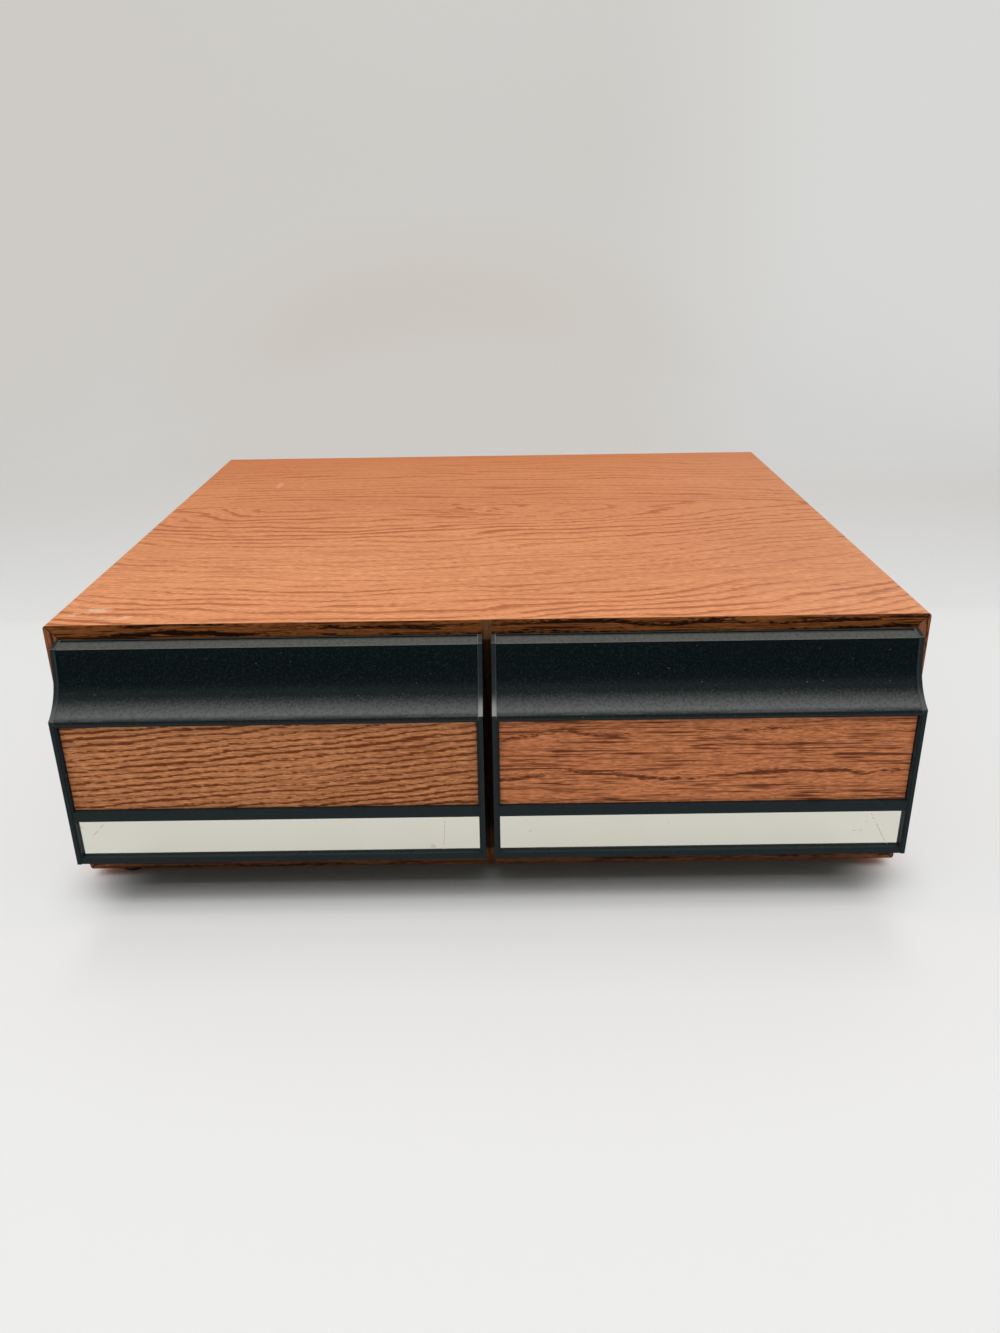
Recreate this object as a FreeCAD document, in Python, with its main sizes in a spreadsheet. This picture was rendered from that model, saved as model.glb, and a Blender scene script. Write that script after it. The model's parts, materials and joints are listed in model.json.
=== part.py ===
# Two-drawer cabinet for video tapes: a vinyl-wrapped board case with two sliding moulded drawers.
# Frame: origin at the bottom centre of the whole box, +X to the viewer's right, +Y to the back, +Z up.
import FreeCAD, Part
import math
import os
import types

import Sketcher

# Driving sizes in millimetres, and counts.
SIZES = {
    # Board case, front edge bands and back
    "case_width": 432.0,
    "case_depth": 384.0,
    "case_height": 140.0,
    "board_thickness": 9.5,
    "corner_radius": 1.5,
    "divider_thickness": 5.0,
    "dado_depth": 3.0,
    "dado_clearance": 0.1,
    "band_thickness": 0.6,
    "back_thickness": 3.2,
    "back_setback": 1.0,
    "back_rabbet": 5.0,
    "back_clearance": 0.4,
    # Staples through the back
    "staple_crown": 11.0,
    "staple_wire": 1.2,
    "staple_leg": 9.0,
    "staple_proud": 0.3,
    "staple_row_count": 6,
    "staple_row_margin": 40.0,
    "staple_column_count": 2,
    "staple_column_margin": 45.0,
    # Rubber feet
    "foot_height": 5.0,
    "foot_top_diameter": 17.0,
    "foot_bottom_diameter": 15.0,
    "foot_bore": 3.6,
    "foot_counterbore": 8.4,
    "foot_counterbore_depth": 2.4,
    "foot_side_inset": 19.5,
    "front_left_foot_inset": 12.5,
    "front_right_foot_inset": 20.0,
    "rear_foot_inset": 18.0,
    # Screws: one size for the feet, the stops and the drawer fronts
    "screw_diameter": 3.0,
    "screw_head_diameter": 6.4,
    "screw_head_height": 1.7,
    "screw_bite": 6.5,
    "pilot_clearance": 0.1,
    # Stop blocks under the top
    "stop_inset": 57.4,
    "stop_length": 14.0,
    "stop_width": 30.0,
    "stop_height": 9.0,
    "stop_ramp": 5.0,
    "stop_bore": 3.6,
    "stop_counterbore": 8.0,
    "stop_counterbore_depth": 3.0,
    # Drawer boxes
    "side_clearance": 1.25,
    "slide_clearance": 0.2,
    "rear_clearance": 4.0,
    "box_headroom": 50.8,
    "box_board_thickness": 5.0,
    "box_bottom_thickness": 3.2,
    "box_bottom_lift": 2.5,
    "groove_depth": 2.5,
    "groove_clearance": 0.1,
    "tongue_width": 48.0,
    "tongue_clearance": 3.0,
    "tongue_radius": 6.0,
    # Plates that part the cassettes
    "slot_count": 12,
    "plate_thickness": 1.8,
    "plate_clearance": 0.2,
    "plate_height": 34.0,
    "plate_corner": 12.0,
    # Drawer fronts
    "front_clearance": 0.5,
    "fronts_gap": 4.4,
    "front_side_reveal": 5.8,
    "front_top_reveal": 7.1,
    "front_rise": 19.8,
    "front_depth": 25.0,
    "front_wall": 2.4,
    "rim_width": 2.1,
    "rim_proud": 0.5,
    "ridge_width": 1.2,
    "ledge_depth": 8.7,
    "ledge_drop": 1.5,
    "cove_lead": 1.6,
    "cove_drop": 11.2,
    "cove_fall": 31.0,
    "lip_nose": 1.9,
    "lip_radius": 0.5,
    "window_margin": 2.9,
    "bottom_bar": 3.5,
    "mirror_height": 21.3,
    "middle_bar": 5.4,
    "top_bar": 3.2,
    "inlay_recess": 2.2,
    "inlay_clearance": 0.15,
    "wood_thickness": 2.0,
    "wood_edge": 0.3,
    "mirror_thickness": 1.5,
    "boss_diameter": 8.0,
    "boss_spacing_width": 140.0,
    "boss_spacing_height": 30.0,
    "boss_low": 22.0,
    "stiffener_thickness": 1.6,
    "stiffener_setback": 1.0,
    "stiffener_count": 3,
}

SCREW_SIDES = 12
HALF_ROOT_TWO = 0.5 ** 0.5
SAME_PLACE = 0.001
FULL_TURN = 360.0
NORMAL = FreeCAD.Vector(0, 0, 1)

doc = FreeCAD.newDocument("tape_cabinet")
sheet = doc.addObject("Spreadsheet::Sheet", "dims")
nodes = []


class Size:
    """A number together with the formula that gives it from the sheet."""

    def __init__(self, value, formula):
        self.value = value
        self.formula = formula

    def __add__(self, other):
        other = as_size(other)
        return Size(self.value + other.value, f"({self.formula} + {other.formula})")

    def __sub__(self, other):
        other = as_size(other)
        return Size(self.value - other.value, f"({self.formula} - {other.formula})")

    def __mul__(self, other):
        other = as_size(other)
        return Size(self.value * other.value, f"({self.formula} * {other.formula})")

    def __truediv__(self, other):
        other = as_size(other)
        return Size(self.value / other.value, f"({self.formula} / {other.formula})")

    def __neg__(self):
        return Size(-self.value, f"(-1 * {self.formula})")

    def __rmul__(self, other):
        return as_size(other) * self


def as_size(number):
    """A plain number taken as a size of its own."""
    if isinstance(number, Size):
        return number
    return Size(float(number), repr(float(number)))


def fill_sheet():
    """Write the driving sizes to the sheet and return them by name."""
    for row, (alias, number) in enumerate(SIZES.items(), start=1):
        sheet.set(f"A{row}", alias.replace("_", " "))
        sheet.set(f"B{row}", str(number))
        sheet.setAlias(f"B{row}", alias)
    doc.recompute()
    return types.SimpleNamespace(
        **{alias: Size(number, f"dims.{alias}") for alias, number in SIZES.items()})


dim = fill_sheet()
ZERO = as_size(0)
PAIR = as_size(2)

# Sizes that follow from the driving ones, in the case's frame: front edge at y 0, underside at z 0.
case_front = (dim.front_clearance + dim.front_depth - dim.case_depth) / 2
half_width = dim.case_width / 2
half_height = dim.case_height / 2
half_divider = dim.divider_thickness / 2
ceiling = dim.case_height - dim.board_thickness
bay_width = half_width - dim.board_thickness - half_divider
bay_middle = half_divider + bay_width / 2
back_rear = dim.case_depth - dim.back_setback
back_front = back_rear - dim.back_thickness
screw_radius = dim.screw_diameter / 2
pilot_radius = screw_radius + dim.pilot_clearance
box_half = bay_width / 2 - dim.side_clearance
box_inside = box_half - dim.box_board_thickness
box_length = back_front - dim.rear_clearance + dim.front_clearance
box_base = dim.board_thickness + dim.slide_clearance
box_height = ceiling - dim.box_headroom - box_base
box_floor = dim.box_bottom_lift + dim.box_bottom_thickness
front_width = half_width - dim.front_side_reveal - dim.fronts_gap / 2
front_height = dim.case_height - dim.front_top_reveal - dim.front_rise
front_middle = (dim.fronts_gap + front_width) / 2
lip_height = front_height - dim.ledge_drop - dim.cove_fall
field_depth = dim.front_depth - dim.rim_proud
inlay_face = field_depth - dim.inlay_recess
cavity_depth = inlay_face - dim.wood_thickness - dim.front_wall
window_width = front_width - 2 * dim.window_margin
mirror_top = dim.bottom_bar + dim.mirror_height
wood_bottom = mirror_top + dim.middle_bar
wood_top = lip_height - dim.top_bar
boss_radius = dim.boss_diameter / 2


def bind(thing, prop, size):
    """Tie one property of a document object to its formula."""
    thing.setExpression(prop, as_size(size).formula)


class Point:
    """A point of an outline.

    The centre is that of the arc which leads to the point, and a loose point is held by u alone.
    """

    def __init__(self, u, v, centre=None, loose=False):
        self.u = as_size(u)
        self.v = as_size(v)
        self.centre = centre and (as_size(centre[0]), as_size(centre[1]))
        self.loose = loose

    def vector(self):
        return FreeCAD.Vector(self.u.value, self.v.value, 0)


def new_body(label, x=ZERO, y=ZERO, z=ZERO, is_node=True):
    """A body of the document, placed by its formulas."""
    body = doc.addObject("PartDesign::Body", label)
    body.Label = label
    for axis, size in (("x", x), ("y", y), ("z", z)):
        bind(body, f"Placement.Base.{axis}", size)
    if is_node:
        nodes.append(body)
    return body


def origin_part(body, role):
    """One of the body's own origin planes or axes."""
    return next(part for part in body.Origin.OriginFeatures if part.Role == role)


def new_sketch(body, name, plane, lift=ZERO, shift=ZERO):
    """A sketch on an origin plane, lifted along the plane's normal and shifted along its first axis."""
    sketch = body.newObject("Sketcher::SketchObject", f"{body.Label}_{name}")
    sketch.AttachmentSupport = [(origin_part(body, plane), "")]
    sketch.MapMode = "FlatFace"
    bind(sketch, "AttachmentOffset.Base.x", shift)
    bind(sketch, "AttachmentOffset.Base.z", lift)
    return sketch


def pin(sketch, vertex, u=None, v=None):
    """Hold a vertex at its formulas, measured from the sketch's origin."""
    for kind, size in (("DistanceX", u), ("DistanceY", v)):
        if size is not None:
            number = sketch.addConstraint(Sketcher.Constraint(kind, -1, 1, *vertex, size.value))
            bind(sketch, f"Constraints[{number}]", size)


def draw_stretch(sketch, start, end):
    """Draw the line or arc between two points and return its start and end vertices."""
    if end.centre is None:
        line = sketch.addGeometry(Part.LineSegment(start.vector(), end.vector()))
        return (line, 1), (line, 2)
    centre = FreeCAD.Vector(end.centre[0].value, end.centre[1].value, 0)
    first, last = start.vector() - centre, end.vector() - centre
    turns_left = first.cross(last).z > 0
    sweep = (first, last) if turns_left else (last, first)
    angles = [FreeCAD.Vector(1, 0, 0).getAngle(ray) * (1 if ray.y >= 0 else -1) for ray in sweep]
    arc = sketch.addGeometry(Part.ArcOfCircle(Part.Circle(centre, NORMAL, first.Length), *angles))
    pin(sketch, (arc, 3), *end.centre)
    return ((arc, 1), (arc, 2)) if turns_left else ((arc, 2), (arc, 1))


def outline(sketch, path):
    """Draw a closed outline through the points of a path."""
    stretches = [draw_stretch(sketch, path[here - 1], point) for here, point in enumerate(path)]
    for here, point in enumerate(path):
        end = stretches[here][1]
        following = stretches[(here + 1) % len(path)][0]
        sketch.addConstraint(Sketcher.Constraint("Coincident", *end, *following))
        pin(sketch, end, point.u, None if point.loose else point.v)


def rectangle(sketch, left, low, right, high):
    """Draw an upright rectangle."""
    outline(sketch, [Point(left, low), Point(right, low), Point(right, high), Point(left, high)])


def circle(sketch, u, v, radius):
    """Draw a circle held at its centre."""
    u, v = as_size(u), as_size(v)
    round_edge = sketch.addGeometry(Part.Circle(FreeCAD.Vector(u.value, v.value, 0), NORMAL, radius.value))
    pin(sketch, (round_edge, 3), u, v)
    number = sketch.addConstraint(Sketcher.Constraint("Radius", round_edge, radius.value))
    bind(sketch, f"Constraints[{number}]", radius)


def polygon(sketch, u, v, radius):
    """Draw the many-sided outline that stands for a small screw's circle."""
    steps = [math.tau * side / SCREW_SIDES for side in range(SCREW_SIDES)]
    outline(sketch, [Point(u + radius * math.cos(turn), v + radius * math.sin(turn)) for turn in steps])


def extrude(kind, sketch, length, flip, both):
    """A pad or a pocket of the sketch's own body."""
    body = sketch.getParentGeoFeatureGroup()
    feature = body.newObject(f"PartDesign::{kind}", f"{sketch.Label}_{kind.lower()}")
    feature.Profile = sketch
    feature.Reversed = flip
    feature.SideType = "Symmetric" if both else "One side"
    bind(feature, "Length", length)
    doc.recompute()
    return feature


def pad(sketch, length, flip=False, both=False):
    """Add material along the sketch's normal, against it, or to both sides."""
    return extrude("Pad", sketch, length, flip, both)


def pocket(sketch, length, flip=False, both=False):
    """Cut material away against the sketch's normal, along it, or to both sides."""
    feature = extrude("Pocket", sketch, length, flip, both)
    if feature.Shape.Volume >= feature.BaseFeature.Shape.Volume:
        raise RuntimeError(f"{feature.Label} cuts nothing")
    return feature


def revolve(sketch):
    """Turn a half section about the sketch's own vertical axis."""
    body = sketch.getParentGeoFeatureGroup()
    feature = body.newObject("PartDesign::Revolution", f"{sketch.Label}_turned")
    feature.Profile = sketch
    feature.ReferenceAxis = (sketch, ["V_Axis"])
    feature.Angle = FULL_TURN
    doc.recompute()
    return feature


def repeat(features, rows):
    """Repeat features in one or two rows, each given as its axis, whole length and count."""
    body = features[0].getParentGeoFeatureGroup()
    pattern = body.newObject("PartDesign::LinearPattern", f"{body.Label}_row")
    pattern.Originals = features
    for suffix, (axis, length, count) in zip(("", "2"), rows):
        setattr(pattern, f"Direction{suffix}", (origin_part(body, axis), [""]))
        bind(pattern, f"Length{suffix}", length)
        bind(pattern, f"Occurrences{suffix}", count)
    body.Tip = pattern
    doc.recompute()
    return pattern


def mirror(feature, plane):
    """Mirror a feature across one of the body's origin planes."""
    body = feature.getParentGeoFeatureGroup()
    copy = body.newObject("PartDesign::Mirrored", f"{feature.Label}_mirrored")
    copy.Originals = [feature]
    copy.MirrorPlane = (origin_part(body, plane), [""])
    body.Tip = copy
    doc.recompute()
    return copy


def ease_edges(kind, feature, size, wanted):
    """Fillet or chamfer the edges whose two ends pass a test."""
    body = feature.getParentGeoFeatureGroup()
    names = []
    for number, edge in enumerate(feature.Shape.Edges, start=1):
        if len(edge.Vertexes) == 2 and wanted(*(vertex.Point for vertex in edge.Vertexes)):
            names.append(f"Edge{number}")
    if not names:
        raise RuntimeError(f"{feature.Label} has no edge to ease")
    eased = body.newObject(f"PartDesign::{kind}", f"{feature.Label}_{kind.lower()}")
    eased.Base = (feature, names)
    bind(eased, "Radius" if kind == "Fillet" else "Size", size)
    doc.recompute()
    return eased


def near(number, size):
    """True where a measured number is the given size."""
    return abs(number - as_size(size).value) < SAME_PLACE


# Board case

def board_path(place, half_length, near_end=None, far_end=None):
    """Section of a board or band, as steps along it and in from the outside.

    An end is mitred where no square end is given.
    """
    round_in = dim.corner_radius * (1 - HALF_ROOT_TWO)
    thick = dim.board_thickness
    path = []
    for sign, square in ((-1, near_end), (1, far_end)):
        if square is not None:
            corner = [Point(*place(square, thick)), Point(*place(square, ZERO))]
        else:
            centre = place(sign * (half_length - dim.corner_radius), dim.corner_radius)
            meets = Point(*place(sign * (half_length - round_in), round_in), loose=True)
            starts = Point(*place(sign * (half_length - dim.corner_radius), ZERO))
            corner = [Point(*place(sign * (half_length - thick), thick)), meets, starts]
            (corner[2] if sign < 0 else corner[1]).centre = centre
        path += corner if sign < 0 else corner[::-1]
    return path


def top_place(along, inward):
    """A point of the top board's section."""
    return along, dim.case_height - inward


def bottom_place(along, inward):
    """A point of the bottom board's section."""
    return along, as_size(inward)


def left_place(along, inward):
    """A point of the left board's section."""
    return inward - half_width, half_height + along


def right_place(along, inward):
    """A point of the right board's section."""
    return half_width - inward, half_height + along


def case_body(label):
    """A body in the case's frame."""
    return new_body(label, ZERO, case_front, dim.foot_height)


def cut_back_rabbet(body):
    """Cut the step that takes the back panel."""
    reach = dim.back_rabbet + dim.back_clearance - dim.board_thickness
    sketch = new_sketch(body, "rabbet", "XZ_Plane", lift=-back_front)
    rectangle(sketch, -(half_width + reach), -reach, half_width + reach, dim.case_height + reach)
    pocket(sketch, dim.back_thickness + dim.back_setback)


def cut_dado(body, low):
    """Cut the groove that takes one edge of the divider."""
    half_groove = half_divider + dim.dado_clearance
    sketch = new_sketch(body, "dado", "XZ_Plane", lift=-dim.band_thickness)
    rectangle(sketch, -half_groove, low, half_groove, low + dim.dado_depth)
    pocket(sketch, dim.case_depth)


def cut_pilot_holes(body, level, places):
    """Drill blind upward holes for the screws that bite into a board."""
    sketch = new_sketch(body, "pilots", "XY_Plane", lift=level)
    for x, y in places:
        circle(sketch, x, y, pilot_radius)
    pocket(sketch, dim.screw_bite + dim.pilot_clearance, flip=True)


def make_board(label, place, half_length):
    """A mitred board behind its edge band."""
    body = case_body(label)
    sketch = new_sketch(body, "section", "XZ_Plane", lift=-dim.band_thickness)
    outline(sketch, board_path(place, half_length))
    pad(sketch, dim.case_depth - dim.band_thickness, flip=True)
    cut_back_rabbet(body)
    return body


def make_band(label, place, half_length, near_end=None, far_end=None):
    """A strip of edge band on the front edge of a board."""
    sketch = new_sketch(case_body(label), "section", "XZ_Plane")
    outline(sketch, board_path(place, half_length, near_end, far_end))
    pad(sketch, dim.band_thickness, flip=True)


def make_divider():
    """The upright board between the two drawers, with the band on its front edge."""
    sketch = new_sketch(case_body("center_divider"), "section", "XZ_Plane", lift=-dim.band_thickness)
    rectangle(sketch, -half_divider, dim.board_thickness - dim.dado_depth,
              half_divider, ceiling + dim.dado_depth)
    pad(sketch, back_front - dim.band_thickness, flip=True)
    band = new_sketch(case_body("divider_edge_band"), "section", "XZ_Plane")
    rectangle(band, -half_divider, ZERO, half_divider, dim.case_height)
    pad(band, dim.band_thickness, flip=True)


def make_back():
    """The thin back panel in its rabbet."""
    reach = dim.back_rabbet - dim.board_thickness
    sketch = new_sketch(case_body("back_panel"), "outline", "XZ_Plane", lift=-back_front)
    rectangle(sketch, -(half_width + reach), -reach, half_width + reach, dim.case_height + reach)
    pad(sketch, dim.back_thickness, flip=True)


def staple_path(turned):
    """A staple seen along its width: crown to the rear, legs to the front."""
    rear = back_rear + dim.staple_proud
    half_crown = dim.staple_crown / 2
    inner = half_crown - dim.staple_wire
    steps = [(-half_crown, rear - dim.staple_leg), (-inner, rear - dim.staple_leg),
             (-inner, rear - dim.staple_wire), (inner, rear - dim.staple_wire),
             (inner, rear - dim.staple_leg), (half_crown, rear - dim.staple_leg),
             (half_crown, rear), (-half_crown, rear)]
    return [Point(y, along) if turned else Point(along, y) for along, y in steps]


def make_staples():
    """Staples along all four edges of the back panel, as one group."""
    edge = dim.board_thickness - dim.back_rabbet / 2
    row_start = half_width - dim.staple_row_margin
    column_start = half_height - dim.staple_column_margin
    rows = new_body("back_staple_rows", ZERO, case_front, dim.foot_height, is_node=False)
    sketch = new_sketch(rows, "wire", "XY_Plane", lift=edge, shift=-row_start)
    outline(sketch, staple_path(turned=False))
    first = pad(sketch, dim.staple_wire, both=True)
    repeat([first], [("X_Axis", 2 * row_start, dim.staple_row_count),
                     ("Z_Axis", dim.case_height - 2 * edge, PAIR)])
    columns = new_body("back_staple_columns", ZERO, case_front, dim.foot_height, is_node=False)
    sketch = new_sketch(columns, "wire", "YZ_Plane", lift=edge - half_width)
    bind(sketch, "AttachmentOffset.Base.y", half_height - column_start)
    outline(sketch, staple_path(turned=True))
    first = pad(sketch, dim.staple_wire, both=True)
    repeat([first], [("Z_Axis", 2 * column_start, dim.staple_column_count),
                     ("X_Axis", dim.case_width - 2 * edge, PAIR)])
    make_group("back_staples", [rows, columns])


def make_group(label, members):
    """Join separate solids of one kind in one named group."""
    group = doc.addObject("Part::Compound", label)
    group.Label = label
    group.Links = members
    nodes.append(group)


# Screws, feet and stops

def add_screw(body, plane, shift, lift, grip, tip_along_normal):
    """A screw square to a plane: its head lies on the plane and its shank goes through what it grips."""
    head = new_sketch(body, "head", plane, shift=shift)
    shank = new_sketch(body, "shank", plane, shift=shift)
    for sketch, radius in ((head, dim.screw_head_diameter / 2), (shank, screw_radius)):
        bind(sketch, "AttachmentOffset.Base.y", lift)
        polygon(sketch, ZERO, ZERO, radius)
    return [pad(head, dim.screw_head_height, flip=tip_along_normal),
            pad(shank, grip + dim.screw_bite, flip=not tip_along_normal)]


def make_screw(label, x, y, z, grip):
    """A screw that points up from its seat, through the piece it grips and into the board above."""
    body = new_body(label, x, y, z, is_node=False)
    add_screw(body, "XY_Plane", ZERO, ZERO, grip, tip_along_normal=True)
    return body


def foot_places():
    """Centres of the feet in the case's frame, by name."""
    side = half_width - dim.foot_side_inset
    rear = dim.case_depth - dim.rear_foot_inset
    return {"front_left_foot": (-side, dim.front_left_foot_inset),
            "front_right_foot": (side, dim.front_right_foot_inset),
            "rear_left_foot": (-side, rear),
            "rear_right_foot": (side, rear)}


def make_foot(label, x, y):
    """A tapered rubber bumper with a sunk hole for its screw."""
    body = new_body(label, x, case_front + y, ZERO)
    section = new_sketch(body, "section", "XZ_Plane")
    low, high = dim.foot_bottom_diameter / 2, dim.foot_top_diameter / 2
    outline(section, [Point(ZERO, ZERO), Point(low, ZERO), Point(high, dim.foot_height),
                      Point(ZERO, dim.foot_height)])
    revolve(section)
    for name, width, depth in (("bore", dim.foot_bore, dim.foot_height),
                               ("counterbore", dim.foot_counterbore, dim.foot_counterbore_depth)):
        sketch = new_sketch(body, name, "XY_Plane")
        polygon(sketch, ZERO, ZERO, width / 2)
        pocket(sketch, depth, flip=True)


def make_feet():
    """The four feet and their screws."""
    screws = []
    grip = dim.foot_height - dim.foot_counterbore_depth
    for label, (x, y) in foot_places().items():
        make_foot(label, x, y)
        screws.append(make_screw(f"{label}_screw", x, case_front + y, dim.foot_counterbore_depth, grip))
    make_group("foot_screws", screws)


def stop_places():
    """Centres of the stops' screws in the case's frame."""
    middle = dim.stop_inset + (dim.stop_length + dim.stop_ramp) / 2
    return {"left_drawer_stop": (-bay_middle, middle), "right_drawer_stop": (bay_middle, middle)}


def make_stop(label, x, y):
    """A block under the top, ramped in front so that the drawer's tongue can slip past it."""
    body = new_body(label, x, case_front, dim.foot_height + ceiling)
    rear = dim.stop_inset + dim.stop_length
    profile = new_sketch(body, "profile", "YZ_Plane")
    outline(profile, [Point(dim.stop_inset, ZERO), Point(dim.stop_inset + dim.stop_ramp, -dim.stop_height),
                      Point(rear, -dim.stop_height), Point(rear, ZERO)])
    pad(profile, dim.stop_width, both=True)
    bore = new_sketch(body, "bore", "XY_Plane")
    circle(bore, ZERO, y, dim.stop_bore / 2)
    pocket(bore, dim.stop_height)
    sunk = new_sketch(body, "counterbore", "XY_Plane", lift=-dim.stop_height)
    circle(sunk, ZERO, y, dim.stop_counterbore / 2)
    pocket(sunk, dim.stop_counterbore_depth, flip=True)


def make_stops():
    """The two stops and their screws."""
    screws = []
    seat = ceiling - dim.stop_height + dim.stop_counterbore_depth
    grip = dim.stop_height - dim.stop_counterbore_depth
    for label, (x, y) in stop_places().items():
        make_stop(label, x, y)
        screws.append(make_screw(f"{label}_screw", x, case_front + y, dim.foot_height + seat, grip))
    make_group("stop_screws", screws)


def make_case():
    """The whole case with its bands, back, feet and stops."""
    top = make_board("top_panel", top_place, half_width)
    cut_dado(top, ceiling)
    cut_pilot_holes(top, ceiling, stop_places().values())
    bottom = make_board("bottom_panel", bottom_place, half_width)
    cut_dado(bottom, dim.board_thickness - dim.dado_depth)
    cut_pilot_holes(bottom, ZERO, foot_places().values())
    make_board("left_side_panel", left_place, half_height)
    make_board("right_side_panel", right_place, half_height)
    make_divider()
    make_back()
    for level, place in (("top", top_place), ("bottom", bottom_place)):
        make_band(f"{level}_left_edge_band", place, half_width, far_end=-half_divider)
        make_band(f"{level}_right_edge_band", place, half_width, near_end=half_divider)
    make_band("left_edge_band", left_place, half_height)
    make_band("right_edge_band", right_place, half_height)
    make_staples()
    make_feet()
    make_stops()


# Drawers

def boss_places(shift=ZERO):
    """Centres of the four bosses behind a drawer front, seen from the front."""
    half = dim.boss_spacing_width / 2
    return [(side * half + shift, dim.boss_low + rise)
            for side in (-1, 1) for rise in (ZERO, dim.boss_spacing_height)]


def box_body(label, hand):
    """A body in the frame of a drawer box: front face at y 0, lower edge at z 0."""
    return new_body(label, hand * bay_middle, case_front - dim.front_clearance, dim.foot_height + box_base)


def grooved_path(outer, inner, inward):
    """Section of a box board with the groove that takes the bottom, as steps across the board and up."""
    groove = inner - inward * dim.groove_depth
    low = dim.box_bottom_lift - dim.groove_clearance
    high = box_floor + dim.groove_clearance
    return [Point(outer, ZERO), Point(inner, ZERO), Point(inner, low), Point(groove, low),
            Point(groove, high), Point(inner, high), Point(inner, box_height), Point(outer, box_height)]


def make_box_side(label, hand, side):
    """A side of a drawer box, which slides on its lower edge."""
    sketch = new_sketch(box_body(label, hand), "section", "XZ_Plane")
    outline(sketch, grooved_path(side * box_half, side * box_inside, -side))
    pad(sketch, box_length, flip=True)


def make_box_front(label, hand):
    """The board between the sides that the moulded front is screwed to."""
    body = box_body(label, hand)
    section = new_sketch(body, "section", "YZ_Plane")
    outline(section, grooved_path(ZERO, dim.box_board_thickness, 1))
    pad(section, 2 * box_inside, both=True)
    holes = new_sketch(body, "screw_holes", "XZ_Plane")
    rise = dim.front_rise - box_base
    for x, z in boss_places(shift=hand * (front_middle - bay_middle)):
        circle(holes, x, z + rise, pilot_radius)
    pocket(holes, dim.box_board_thickness)


def make_box_back(label, hand):
    """The board between the sides at the rear, with the tongue that meets the stop."""
    body = box_body(label, hand)
    top = ceiling - dim.tongue_clearance - box_base
    half = dim.tongue_width / 2
    sketch = new_sketch(body, "outline", "XZ_Plane", lift=dim.box_board_thickness - box_length)
    right = [Point(box_inside, box_floor), Point(box_inside, box_height), Point(half, box_height),
             Point(half, top)]
    left = [Point(-point.u, point.v) for point in reversed(right)]
    outline(sketch, right + left)
    board = pad(sketch, dim.box_board_thickness, flip=True)

    def is_tongue_corner(first, second):
        return near(first.z, top) and near(second.z, top) and near(first.x, second.x)

    ease_edges("Fillet", board, dim.tongue_radius, is_tongue_corner)


def make_box_bottom(label, hand):
    """The thin bottom, slid into the grooves from the rear."""
    reach = dim.groove_depth - dim.groove_clearance
    half = box_inside + reach
    sketch = new_sketch(box_body(label, hand), "outline", "XY_Plane", lift=dim.box_bottom_lift)
    rectangle(sketch, -half, dim.box_board_thickness - reach, half, box_length)
    pad(sketch, dim.box_bottom_thickness)


def make_plates(label, hand):
    """Low upright plates across the box that part the cassettes, as one group."""
    pitch = (box_length - 2 * dim.box_board_thickness) / dim.slot_count
    end = box_inside - dim.plate_clearance
    top = box_floor + dim.plate_height
    sketch = new_sketch(box_body(label, hand), "plate", "XZ_Plane", lift=-(dim.box_board_thickness + pitch))
    right = [Point(end, box_floor), Point(end, top - dim.plate_corner), Point(end - dim.plate_corner, top)]
    left = [Point(-point.u, point.v) for point in reversed(right)]
    outline(sketch, right + left)
    first = pad(sketch, dim.plate_thickness, both=True)
    repeat([first], [("Y_Axis", pitch * (dim.slot_count - 2), dim.slot_count - 1)])


def cove_path(proud):
    """Ledge, cove and lip of a drawer front, from the back of the ledge to the lip's edge.

    The rims' path stands proud of the field's.
    """
    sink = ZERO if proud else dim.rim_proud
    ledge_back = front_height - sink
    ledge_edge = ledge_back - dim.ledge_drop
    ledge_out = dim.ledge_depth - sink
    straight_out = ledge_out + dim.cove_lead
    straight_low = ledge_edge - dim.cove_drop
    across = dim.front_depth - straight_out
    down = lip_height - sink - straight_low
    # The arc leaves the straight stretch without a kink: its centre lies square to that stretch.
    swing = (across * across + down * down) / (2 * (across * dim.cove_drop + down * dim.cove_lead))
    centre = (-(straight_out + swing * dim.cove_drop), straight_low + swing * dim.cove_lead)
    path = [Point(-ledge_out, ledge_edge), Point(-straight_out, straight_low),
            Point(-dim.front_depth, lip_height - sink, centre=centre, loose=True)]
    return ledge_back, path


def field_path():
    """Profile of a drawer front between its end rims."""
    ledge_back, cove = cove_path(proud=False)
    nose_low = lip_height - dim.rim_proud - dim.lip_nose
    ridge = [Point(ZERO, front_height), Point(-dim.ridge_width, front_height),
             Point(-dim.ridge_width, ledge_back)]
    face = [Point(-dim.front_depth, nose_low), Point(-field_depth, nose_low), Point(-field_depth, ZERO)]
    return ridge + cove + face + [Point(ZERO, ZERO)]


def rim_path():
    """Profile of the raised rim at each end of a drawer front."""
    ledge_back, cove = cove_path(proud=True)
    return [Point(ZERO, ledge_back)] + cove + [Point(-dim.front_depth, ZERO), Point(ZERO, ZERO)]


def cavity_path(setback):
    """Profile of the hollow behind a drawer front, or of a stiffener that stops short of the rear."""
    low = dim.front_wall
    shallow = dim.ledge_depth - dim.rim_proud - dim.front_wall
    roof = front_height - dim.ledge_drop - dim.rim_proud - dim.front_wall
    bend = front_height - dim.ledge_drop - dim.cove_drop
    return [Point(-setback, low), Point(-cavity_depth, low),
            Point(-cavity_depth, lip_height - dim.front_wall), Point(-shallow, bend),
            Point(-shallow, roof), Point(-setback, roof)]


def cut_window(body, name, low, high, thickness):
    """Cut the stepped window that takes an inlay."""
    half = window_width / 2
    sketch = new_sketch(body, name, "XZ_Plane", lift=field_depth)
    rectangle(sketch, -half, low, half, high)
    pocket(sketch, dim.inlay_recess + thickness)


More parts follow.
